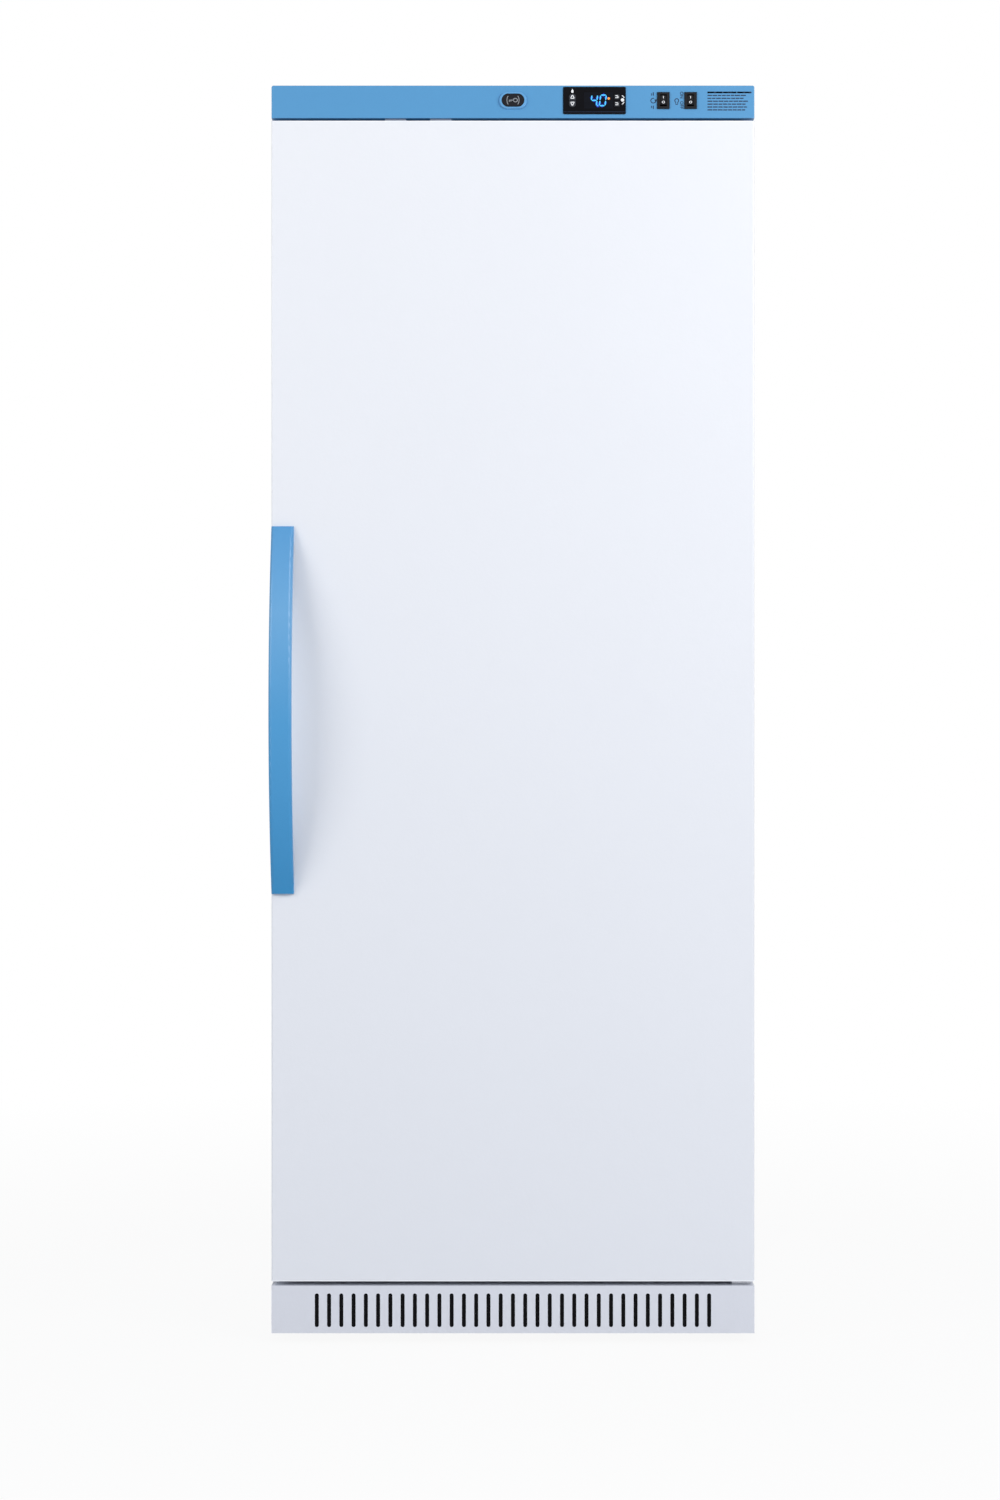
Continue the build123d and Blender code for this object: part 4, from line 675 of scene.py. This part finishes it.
for node, body, axis in (("evaporator_fan", "fan_cold", "Y"), ("condenser_fan", "fan_warm", "X")):
    low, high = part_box(node)
    long_way = 1 if axis == "Y" else 0
    deep = high[long_way] - low[long_way] - 0.020
    radius = (high[2] - low[2]) / 2
    rotor = fan.build(node + "_rotor", body, Tip_Radius=radius - 0.0015, Depth=deep,
                      Hub_Radius=0.020 if axis == "Y" else 0.024)
    if axis == "Y":
        stand = Matrix.Rotation(math.radians(-90), 4, "X")
    else:
        stand = Matrix.Rotation(math.radians(90), 4, "Y")
    spot = Vector([j for j in frame["joints"] if j["child"] == body][0]["pos_m"])
    spot[long_way] = low[long_way]
    rotor.data.transform(Matrix.Translation(spot) @ stand)
    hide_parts(node)

# %% [markdown]
# ## The fan's wire guard
# A guard of thin rings stands in front of the fan in the cold space. Rings of one wire
# thickness can't be scaled copies of each other, because scaling would thicken the wire, so
# the tree has one circle per ring, with its radius worked out from the spacing.

# %% Guard tree
guard = Shape("guard_tree", {"Inner": 0.010, "Spacing": 0.0085, "Wire": 0.0010})
g = guard.given
rings = []
for k in range(6):
    loop = guard.add("GeometryNodeCurvePrimitiveCircle", {}, 40,
                     Radius=g["Inner"] + g["Spacing"] * k)
    profile = guard.add("GeometryNodeCurvePrimitiveCircle", {}, 6, Radius=g["Wire"])
    rings.append(guard.add("GeometryNodeCurveToMesh", {}, loop, profile))
reach = g["Inner"] + g["Spacing"] * 5
for across_x, across_y in ((1.0, 0.0), (0.0, 1.0)):
    rings.append(guard.tube(
        guard.vector(reach * -across_x, reach * -across_y, g["Wire"] * 2),
        guard.vector(reach * across_x, reach * across_y, g["Wire"] * 2), g["Wire"], 6))
guard.close(guard.join(*rings), hinge_zinc)
cold_guard = guard.build("fan_guard_wires", "cabinet")
pin = [j for j in frame["joints"] if j["child"] == "fan_cold"][0]["pos_m"]
cover_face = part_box("evaporator_cover")[0][1]
cold_guard.data.transform(Matrix.Translation((pin[0], cover_face - 0.001, pin[2]))
                          @ Matrix.Rotation(math.radians(90), 4, "X"))

# %% [markdown]
# ## Thin printed and moulded shapes
# The marks on the controls are only a few tenths of a millimetre thick. Each is drawn as flat
# strokes in the plane of the front, then given that thickness. Image textures would blur at
# this size, so strokes made of real faces are the better way.

# %% Strokes
class Strokes:
    """Flat shapes in the front's plane, x to the right and z up, in metres from a centre."""

    def __init__(self, centre_x, centre_z):
        self.mesh = bmesh.new()
        self.cx, self.cz = centre_x, centre_z

    def face(self, points):
        corners = [self.mesh.verts.new((self.cx + x, 0.0, self.cz + z)) for x, z in points]
        self.mesh.faces.new(corners)
        return self

    def bar(self, x0, z0, x1, z1, width):
        run = Vector((x1 - x0, z1 - z0)).normalized() * width / 2
        nx, nz = -run.y, run.x
        return self.face([(x0 + nx, z0 + nz), (x0 - nx, z0 - nz), (x1 - nx, z1 - nz),
                          (x1 + nx, z1 + nz)])

    def arc(self, x, z, radius, width, start, end, steps=14, squash=1.0):
        turns = [math.radians(start + (end - start) * k / steps) for k in range(steps + 1)]
        out, inside = radius + width / 2, radius - width / 2
        for a, b in zip(turns, turns[1:]):
            self.face([(x + inside * math.cos(a) * squash, z + inside * math.sin(a)),
                       (x + out * math.cos(a) * squash, z + out * math.sin(a)),
                       (x + out * math.cos(b) * squash, z + out * math.sin(b)),
                       (x + inside * math.cos(b) * squash, z + inside * math.sin(b))])
        return self

    def disc(self, x, z, radius, steps=18):
        return self.face([(x + radius * math.cos(2 * math.pi * k / steps),
                           z + radius * math.sin(2 * math.pi * k / steps)) for k in range(steps)])

    def raise_to(self, name, finish, body, y, thickness, tilt=None):
        """Gives the strokes their thickness; their back lies at y."""
        bmesh.ops.remove_doubles(self.mesh, verts=self.mesh.verts, dist=1e-6)
        bmesh.ops.recalc_face_normals(self.mesh, faces=self.mesh.faces)
        for face in self.mesh.faces:
            if face.normal.y > 0:
                face.normal_flip()
        grown = bmesh.ops.extrude_face_region(self.mesh, geom=self.mesh.faces[:])
        fronts = [v for v in grown["geom"] if isinstance(v, bmesh.types.BMVert)]
        for vert in self.mesh.verts:
            vert.co.y = y
        for vert in fronts:
            vert.co.y = y - thickness
        bmesh.ops.recalc_face_normals(self.mesh, faces=self.mesh.faces)
        if tilt:
            angle, pivot = tilt
            spin = Matrix.Translation(pivot) @ Matrix.Rotation(angle, 4, "X")
            bmesh.ops.transform(self.mesh, matrix=spin @ Matrix.Translation(-Vector(pivot)),
                                verts=self.mesh.verts)
        mesh = bpy.data.meshes.new(name)
        self.mesh.to_mesh(mesh)
        self.mesh.free()
        mesh.materials.append(finish.material if isinstance(finish, Finish) else finish)
        piece = bpy.data.objects.new(name, mesh)
        bpy.context.scene.collection.objects.link(piece)
        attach(piece, body)
        return piece


def middle(node):
    low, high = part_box(node)
    return Vector([(a + b) / 2 for a, b in zip(low, high)])


PRINT = 0.00012                         # thickness of a printed mark
print("strokes ready")

# %% [markdown]
# ## The lit display
# Two slanted seven-segment digits and a point glow blue behind the lens, with a small orange
# lamp beside them that says the compressor runs. Each segment is a six-sided bar. A wider,
# darker copy under each one gives the deep-blue haze that a camera sees around such digits.

# %% Display digits
SEGMENTS = {"4": "fgbc", "0": "abcdef"}
lens = middle("display_lens")
lens_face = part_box("display_lens")[0][1]


def digit(strokes, which, x, height, width, stroke, slant=0.12):
    half, w = height / 2, width / 2
    ends = {"a": ((-w, half), (w, half)), "b": ((w, half), (w, 0)), "c": ((w, 0), (w, -half)),
            "d": ((-w, -half), (w, -half)), "e": ((-w, 0), (-w, -half)),
            "f": ((-w, half), (-w, 0)), "g": ((-w, 0), (w, 0))}
    for key in SEGMENTS[which]:
        (x0, z0), (x1, z1) = ends[key]
        run = Vector((x1 - x0, z1 - z0)).normalized()
        side = Vector((-run.y, run.x)) * stroke / 2
        gap = stroke * 0.28
        a = Vector((x0, z0)) + run * gap
        b = Vector((x1, z1)) - run * gap
        shape = [a, a + run * stroke / 2 - side, b - run * stroke / 2 - side, b,
                 b - run * stroke / 2 + side, a + run * stroke / 2 + side]
        strokes.face([(x + p.x + p.y * slant, p.y) for p in shape])


for layer, stroke, finish, lift in (("haze", 0.0038, digit_halo, 0.00004),
                                    ("light", 0.0014, digit_blue, 0.00016)):
    lights = Strokes(lens[0], lens[2])
    digit(lights, "4", -0.0057, 0.0132, 0.0070, stroke)
    digit(lights, "0", 0.0051, 0.0132, 0.0070, stroke)
    lights.disc(-0.0012, -0.0064, stroke * 0.55)
    lights.raise_to("display_" + layer, finish, "cabinet", lens_face, lift)
running = Strokes(lens[0] + 0.0124, lens[2] + 0.0024)
running.disc(0.0, 0.0, 0.0015)
running.raise_to("running_lamp", dot_orange, "cabinet", lens_face, 0.00016)
print("display lit")

# %% [markdown]
# ## Marks around the keys
# The pair of grey keys carries an up and a down triangle, the two small pads carry short bars,
# and a drop stands above the keys. At the right a round mark sits between two curved brackets.
# These are plain signs that any controller may wear.

# %% Key marks
case_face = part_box("controller_case")[0][1]
for key, flip in (("up_button", 1), ("down_button", -1)):
    spot = middle(key)
    mark = Strokes(spot[0], spot[2])
    tip, base, w = 0.0025 * flip, -0.0018 * flip, 0.0024
    mark.bar(-w, base, w, base, 0.0010)
    mark.bar(-w, base, 0.0, tip, 0.0010)
    mark.bar(w, base, 0.0, tip, 0.0010)
    mark.raise_to(key + "_triangle", print_white, key.split("_")[1] + "_" + key.split("_")[0],
                  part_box(key)[0][1], PRINT)
for key, body in (("mute_button", "button_mute"), ("set_button", "button_set")):
    spot = middle(key)
    mark = Strokes(spot[0], spot[2])
    mark.bar(-0.0021, 0.0013, 0.0012, 0.0013, 0.0009)
    mark.bar(-0.0021, -0.0012, 0.0017, -0.0012, 0.0009)
    mark.bar(-0.0002, 0.0, 0.0020, 0.0, 0.0006)
    mark.raise_to(key + "_bars", print_white, body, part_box(key)[0][1], PRINT)

keys = middle("up_button")
drop = Strokes(keys[0], lens[2] + 0.0118)
drop.face([(0.0016 * math.cos(t), 0.0016 * math.sin(t) - 0.0008)
           for t in [math.radians(200 + 140 * k / 8) for k in range(9)]]
          + [(0.0012, 0.0004), (0.0, 0.0026), (-0.0012, 0.0004)])
drop.raise_to("drop_sign", print_white, "cabinet", case_face, PRINT)
pads = middle("mute_button")
sign = Strokes(pads[0] + 0.0068, lens[2] + 0.0006)
sign.disc(0.0, 0.0, 0.0021)
sign.arc(-0.0036, 0.0, 0.0062, 0.0010, 24, 62)
sign.arc(-0.0036, 0.0, 0.0062, 0.0010, -62, -24)
sign.raise_to("round_sign", print_white, "cabinet", case_face, PRINT)
# painted highlight on a real seam: a thin navy line along the foot of the black case stands for
# light caught in the groove of its lower seam
edge = Strokes(lens[0], lens[2])
low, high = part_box("controller_case")
edge.bar(low[0] - lens[0] + 0.0012, -0.0142, high[0] - lens[0] - 0.0012, -0.0142, 0.0004)
edge.raise_to("case_seam", print_navy, "cabinet", case_face, PRINT)
print("keys marked")

# %% [markdown]
# ## The lock's cover
# A black flap closes the key hole. It shows a small key between two arcs, pale grey on black.

# %% Lock sign
lock = middle("lock_cover")
lock_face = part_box("lock_cover")[0][1]
sign = Strokes(lock[0], lock[2])
sign.arc(0.0012, 0.0, 0.0092, 0.0008, 145, 215, squash=0.95)
sign.arc(-0.0012, 0.0, 0.0092, 0.0008, -35, 35, squash=0.95)
sign.bar(-0.0052, 0.0, 0.0008, 0.0, 0.0008)
sign.bar(-0.0046, 0.0, -0.0046, -0.0022, 0.0008)
sign.bar(-0.0026, 0.0, -0.0026, -0.0018, 0.0008)
sign.arc(0.0030, 0.0, 0.0022, 0.0008, 0, 360, steps=20, squash=1.15)
sign.raise_to("key_sign", print_grey, "lock_flap", lock_face, PRINT)

# %% [markdown]
# ## Rocker marks
# A line for on and a ring for off are the standard signs of a rocker switch. They lie on the
# rocker's two faces, which meet in a shallow V and rest ten degrees from upright, so each
# stroke is made upright first and then turned about the rocker's own pin.

# %% Rocker signs
for node, body, joint_name in (("reset_rocker", "rocker_reset", "reset_rocker_tilt"),
                               ("lamp_rocker", "rocker_lamp", "lamp_rocker_tilt")):
    pin = [j for j in frame["joints"] if j["name"] == joint_name][0]["pos_m"]
    lean = math.atan2(0.001, 0.006)
    rest = math.radians(-10)
    on = Strokes(pin[0], pin[2])
    on.bar(0.0, 0.0028, 0.0, 0.0056, 0.0009)
    on.raise_to(node + "_on", print_white, body, pin[1] - 0.00199, PRINT,
                tilt=(rest + lean, Vector((pin[0], pin[1] - 0.002, pin[2]))))
    off = Strokes(pin[0], pin[2])
    off.arc(0.0, -0.0022, 0.0015, 0.0007, 0, 360, steps=20)
    off.raise_to(node + "_off", print_white, body, pin[1] - 0.00199, PRINT,
                 tilt=(rest - lean, Vector((pin[0], pin[1] - 0.002, pin[2]))))
print("rockers marked")

# %% [markdown]
# ## Signs printed on the blue panel
# Next to the rockers the panel has small dark print. Here it is plain signs instead of words:
# a round arrow for reset, a bulb for the lamp, and the words ON and OFF, which belong on any
# switch. They are read from the side, turned a quarter clockwise.

# %% Panel signs
panel_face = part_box("control_fascia")[0][1]
reset = middle("reset_rocker")
sign = Strokes(reset[0] - 0.0125, reset[2])
sign.arc(0.0, 0.0, 0.0030, 0.0011, 70, 370, steps=20)
sign.face([(0.0046, 0.0018), (0.0010, 0.0012), (0.0036, -0.0014)])
for end in (1, -1):
    sign.bar(0.0, 0.0062 * end, 0.0, 0.0104 * end, 0.0012)
    sign.bar(-0.0022, 0.0062 * end, -0.0022, 0.0092 * end, 0.0009)
sign.raise_to("reset_sign", print_navy, "cabinet", panel_face, PRINT)

bulb = middle("lamp_rocker")
sign = Strokes(bulb[0] - 0.0172, bulb[2])
sign.arc(0.0, 0.0, 0.0024, 0.0010, -60, 240, steps=18)
sign.bar(-0.0012, -0.0022, -0.0012, -0.0038, 0.0009)
sign.bar(0.0012, -0.0022, 0.0012, -0.0038, 0.0009)
sign.bar(-0.0014, -0.0046, 0.0014, -0.0046, 0.0009)
sign.raise_to("bulb_sign", print_navy, "cabinet", panel_face, PRINT)


def word(text, name, x, z, size):
    """A printed word that reads downwards, as flat letters with a little thickness."""
    curve = bpy.data.curves.new(name, "FONT")
    curve.body = text
    curve.size = size
    curve.extrude = PRINT / 2
    curve.offset = size * 0.02
    curve.align_x = "CENTER"
    curve.align_y = "CENTER"
    curve.resolution_u = 3
    maker = bpy.data.objects.new(name + "_maker", curve)
    bpy.context.scene.collection.objects.link(maker)
    graph = bpy.context.evaluated_depsgraph_get()
    mesh = bpy.data.meshes.new_from_object(maker.evaluated_get(graph))
    bpy.data.objects.remove(maker)
    stand = Matrix.Rotation(math.radians(90), 4, "X")
    turn = Matrix.Rotation(math.radians(90), 4, "Y")
    mesh.transform(Matrix.Translation((x, panel_face - PRINT / 2, z)) @ turn @ stand)
    mesh.materials.clear()
    mesh.materials.append(print_navy)
    piece = bpy.data.objects.new(name, mesh)
    bpy.context.scene.collection.objects.link(piece)
    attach(piece, "cabinet")


word("ON", "word_on", bulb[0] - 0.0112, bulb[2] + 0.0070, 0.0054)
word("OFF", "word_off", bulb[0] - 0.0112, bulb[2] - 0.0052, 0.0054)
print("panel signs made")

# %% [markdown]
# ## A block of small print
# At the right end the panel carries a heading and six lines of instructions. The copy has short
# dark bars in place of the words, which read as small print from afar and say nothing. Geometry
# Nodes lay them: every point of a grid gets a seeded random length, and Accumulate Field adds
# up the lengths along each line, so the bars follow one another like words and the right-hand
# edge is ragged. Placing bars on the grid itself would line them up in columns.

# %% Small print tree
small = Shape("small_print_tree", {
    "Words": 8, "Lines": 6, "Word": 0.0055, "Space": 0.0008, "Line Step": 0.0036,
    "Bar Height": 0.0014, "Thick": 0.00012, "Left X": 0.2416, "Top Z": 1.5496,
    "Face Y": -0.284, "Seed": 4,
})
g = small.given
cells = small.add("GeometryNodeMeshGrid", {}, 1.0, 1.0, g["Words"], g["Lines"])
index = small.add("GeometryNodeInputIndex", {})
nth_word = small.add("ShaderNodeMath", {"operation": "FLOOR"}, (index + 0.5) / g["Lines"])
nth_line = index - nth_word * g["Lines"]
length = small.add("FunctionNodeRandomValue", {"data_type": "FLOAT"}, out=1)
random_node = length.socket.node
random_node.inputs[2].default_value = 0.7
random_node.inputs[3].default_value = 1.2
small.put(g["Seed"], random_node.inputs["Seed"])
long = length * g["Word"]
before = small.add("GeometryNodeAccumulateField", {}, long + g["Space"], nth_line, out=1)
placed = small.add("GeometryNodeSetPosition", {}, cells, Position=small.vector(
    g["Left X"] + before + long * 0.5, g["Face Y"] - g["Thick"] * 0.5,
    g["Top Z"] - nth_line * g["Line Step"]))
bar_mesh = small.add("GeometryNodeMeshCube", {}, (1.0, 1.0, 1.0), 2, 2, 2)
bars = small.add("GeometryNodeInstanceOnPoints", {}, placed, Instance=bar_mesh,
                 Scale=small.vector(long, g["Thick"], g["Bar Height"]))
small.close(bars, print_navy)
small.build("small_print", "cabinet", Face_Y=panel_face, Seed=11)
small.build("small_print_head", "cabinet", Face_Y=panel_face, Top_Z=1.5533, Lines=2,
            Line_Step=0.00001, Bar_Height=0.0020, Words=6, Word=0.0080, Seed=3)

# %% [markdown]
# ## Screws
# Pan-head screws hold the rear covers, the hinges and the deck; heads are placed here on the
# back panel, the rear machine cover and the lower hinge. One head is turned from a few rings
# with a cross recess. Geometry Nodes put a copy on every point of a loose mesh, and the
# point's direction is shared by the whole group, so each side of the machine is one call.

# %% Screw tree
def screw_head(radius=0.0042, height=0.0022):
    """A domed head on the XY plane with a cross cut in its top, looking up Z."""
    head = bmesh.new()
    rings = [(radius, 0.0), (radius, height * 0.45), (radius * 0.82, height * 0.85),
             (radius * 0.45, height)]
    rows = []
    turns = [math.pi * k / 8 for k in range(16)]
    for r, z in rings:
        rows.append([head.verts.new((r * math.cos(t), r * math.sin(t), z)) for t in turns])
    for lower, upper in zip(rows, rows[1:]):
        for k in range(16):
            head.faces.new((lower[k], lower[(k + 1) % 16], upper[(k + 1) % 16], upper[k]))
    arm, notch, deep = radius * 0.42, radius * 0.13, height * 0.45
    cross = [(arm, -notch), (arm, notch), (notch, notch), (notch, arm), (-notch, arm),
             (-notch, notch), (-arm, notch), (-arm, -notch), (-notch, -notch), (-notch, -arm),
             (notch, -arm), (notch, -notch)]
    rim = [head.verts.new((x, y, height)) for x, y in cross]
    pit = [head.verts.new((x, y, deep)) for x, y in cross]
    edges = []
    for loop in (rows[-1], rim):
        for a, b in zip(loop, loop[1:] + loop[:1]):
            edges.append(head.edges.get((a, b)) or head.edges.new((a, b)))
    bmesh.ops.triangle_fill(head, edges=edges, use_beauty=True)
    for k in range(12):
        head.faces.new((rim[k], rim[(k + 1) % 12], pit[(k + 1) % 12], pit[k]))
    head.faces.new(pit)
    head.faces.new(list(reversed(rows[0])))
    bmesh.ops.recalc_face_normals(head, faces=head.faces)
    mesh = bpy.data.meshes.new("screw_head")
    head.to_mesh(mesh)
    head.free()
    return bpy.data.objects.new("screw_head", mesh)


pattern = screw_head()
bpy.context.scene.collection.objects.link(pattern)
screws = Shape("screw_tree", {"Tilt": 90.0, "Turn": 0.0})
g = screws.given
source = screws.add("GeometryNodeObjectInfo", {}, out=4)
source.socket.node.inputs[0].default_value = pattern
heads = screws.add("GeometryNodeInstanceOnPoints", {}, g["Geometry"], Instance=source,
                   Rotation=screws.vector(g["Tilt"] * math.radians(1), 0.0,
                                          g["Turn"] * math.radians(1)))
screws.close(heads, hinge_zinc)


def screw_row(name, body, spots, tilt, turn=0.0):
    base = bpy.data.meshes.new(name + "_spots")
    base.from_pydata(spots, [], [])
    return screws.build(name, body, base=base, Tilt=tilt, Turn=turn)


low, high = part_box("back_panel")
rear = high[1]
spots = [(x, rear, z) for x in (low[0] + 0.008, high[0] - 0.008)
         for z in [low[2] + 0.03 + (high[2] - low[2] - 0.06) * k / 6 for k in range(7)]]
screw_row("back_screws", "cabinet", spots, -90.0)
low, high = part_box("rear_machine_cover")
spots = [(x, high[1], z) for x in (low[0] + 0.008, (low[0] + high[0]) / 2, high[0] - 0.008)
         for z in (low[2] + 0.008, high[2] - 0.008)]
screw_row("machine_cover_screws", "cabinet", spots, -90.0)
low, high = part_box("lower_hinge")
plate_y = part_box("face_rails")[0][1] - 0.003
spots = [(x, plate_y, low[2] + 0.0115) for x in (low[0] + 0.008, high[0] - 0.008)]
screw_row("lower_hinge_screws", "cabinet", spots, 90.0)
bpy.data.objects.remove(pattern)

# %% [markdown]
# ## Studio
# The picture is a cut-out on white. A floor that shows white to the camera but still takes the
# shadow gives the same calm, and the lamps stay at a plain level, so the paint looks right in
# any other light. The door is lightest at its top right in the picture, so the stronger of the
# two front lamps stands to the right and both stand above the door's middle.

# %% Floor, world and lamps
def plane(name, size, place):
    mesh = bpy.data.meshes.new(name)
    x, y = size[0] / 2, size[1] / 2
    cx, cy, cz = place
    mesh.from_pydata([(cx - x, cy - y, cz), (cx + x, cy - y, cz), (cx + x, cy + y, cz),
                      (cx - x, cy + y, cz)], [], [(0, 1, 2, 3)])
    piece = bpy.data.objects.new(name, mesh)
    bpy.context.scene.collection.objects.link(piece)
    return piece


floor = plane("studio_floor", (14.0, 14.0), (0.0, 1.0, 0.0))
pale = Finish("studio_pale")
seen = pale.add("ShaderNodeLightPath", {}, out=0)
glossy = pale.add("ShaderNodeLightPath", {}, out=3)
through = pale.add("ShaderNodeLightPath", {}, out=6)
direct = (seen + glossy + through).clamp()
white = pale.add("ShaderNodeEmission", {}, (1.0, 1.0, 1.0, 1.0), 1.0)
pale.shader.inputs["Base Color"].default_value = (0.55, 0.56, 0.58, 1.0)
pale.shader.inputs["Roughness"].default_value = 0.9
NEAR_WHITE = 0.93                       # share of plain white beside the machine; the rest is lit
across_floor = pale.add("ShaderNodeVectorMath", {"operation": "LENGTH"}, pale.where, out=1)
white_share = across_floor.fade(0.7, 2.4) * (1.0 - NEAR_WHITE) + NEAR_WHITE
blend = pale.add("ShaderNodeMixShader", {}, direct * white_share,
                 Value(pale, pale.shader.outputs[0]), white)
pale.links.new(blend.socket, pale.nodes["Material Output"].inputs["Surface"])
floor.data.materials.append(pale.material)

world = bpy.data.worlds.new("studio_world")
bpy.context.scene.world = world
world.use_nodes = True
sky = world.node_tree
sky_back = sky.nodes["Background"]
sky_back.inputs["Color"].default_value = (0.86, 0.88, 0.92, 1.0)
sky_back.inputs["Strength"].default_value = 0.55
path = sky.nodes.new("ShaderNodeLightPath")
either = sky.nodes.new("ShaderNodeMath")
either.operation = "MAXIMUM"
sky.links.new(path.outputs["Is Camera Ray"], either.inputs[0])
sky.links.new(path.outputs["Is Transmission Ray"], either.inputs[1])
bright = sky.nodes.new("ShaderNodeBackground")
bright.inputs["Color"].default_value = (1.0, 1.0, 1.0, 1.0)
bright.inputs["Strength"].default_value = 1.0
chooser = sky.nodes.new("ShaderNodeMixShader")
sky.links.new(either.outputs[0], chooser.inputs[0])
sky.links.new(sky_back.outputs[0], chooser.inputs[1])
sky.links.new(bright.outputs[0], chooser.inputs[2])
sky.links.new(chooser.outputs[0], sky.nodes["World Output"].inputs["Surface"])


def lamp(name, power, size, place, aim):
    data = bpy.data.lights.new(name, "AREA")
    data.energy = power
    data.shape = "RECTANGLE"
    data.size, data.size_y = size
    piece = bpy.data.objects.new(name, data)
    bpy.context.scene.collection.objects.link(piece)
    piece.location = place
    turn = Vector(aim) - Vector(place)
    piece.rotation_euler = turn.to_track_quat("-Z", "Y").to_euler()
    return piece


lamp("key_right", 62.0, (1.9, 1.4), (2.1, -2.5, 1.95), (0.0, -0.2, 1.1))
lamp("fill_left", 33.0, (1.6, 1.4), (-2.3, -2.3, 1.85), (0.0, -0.2, 1.05))
lamp("back_soft", 22.0, (2.4, 1.8), (0.6, 2.8, 2.2), (0.0, 0.3, 0.8))
print("studio ready")
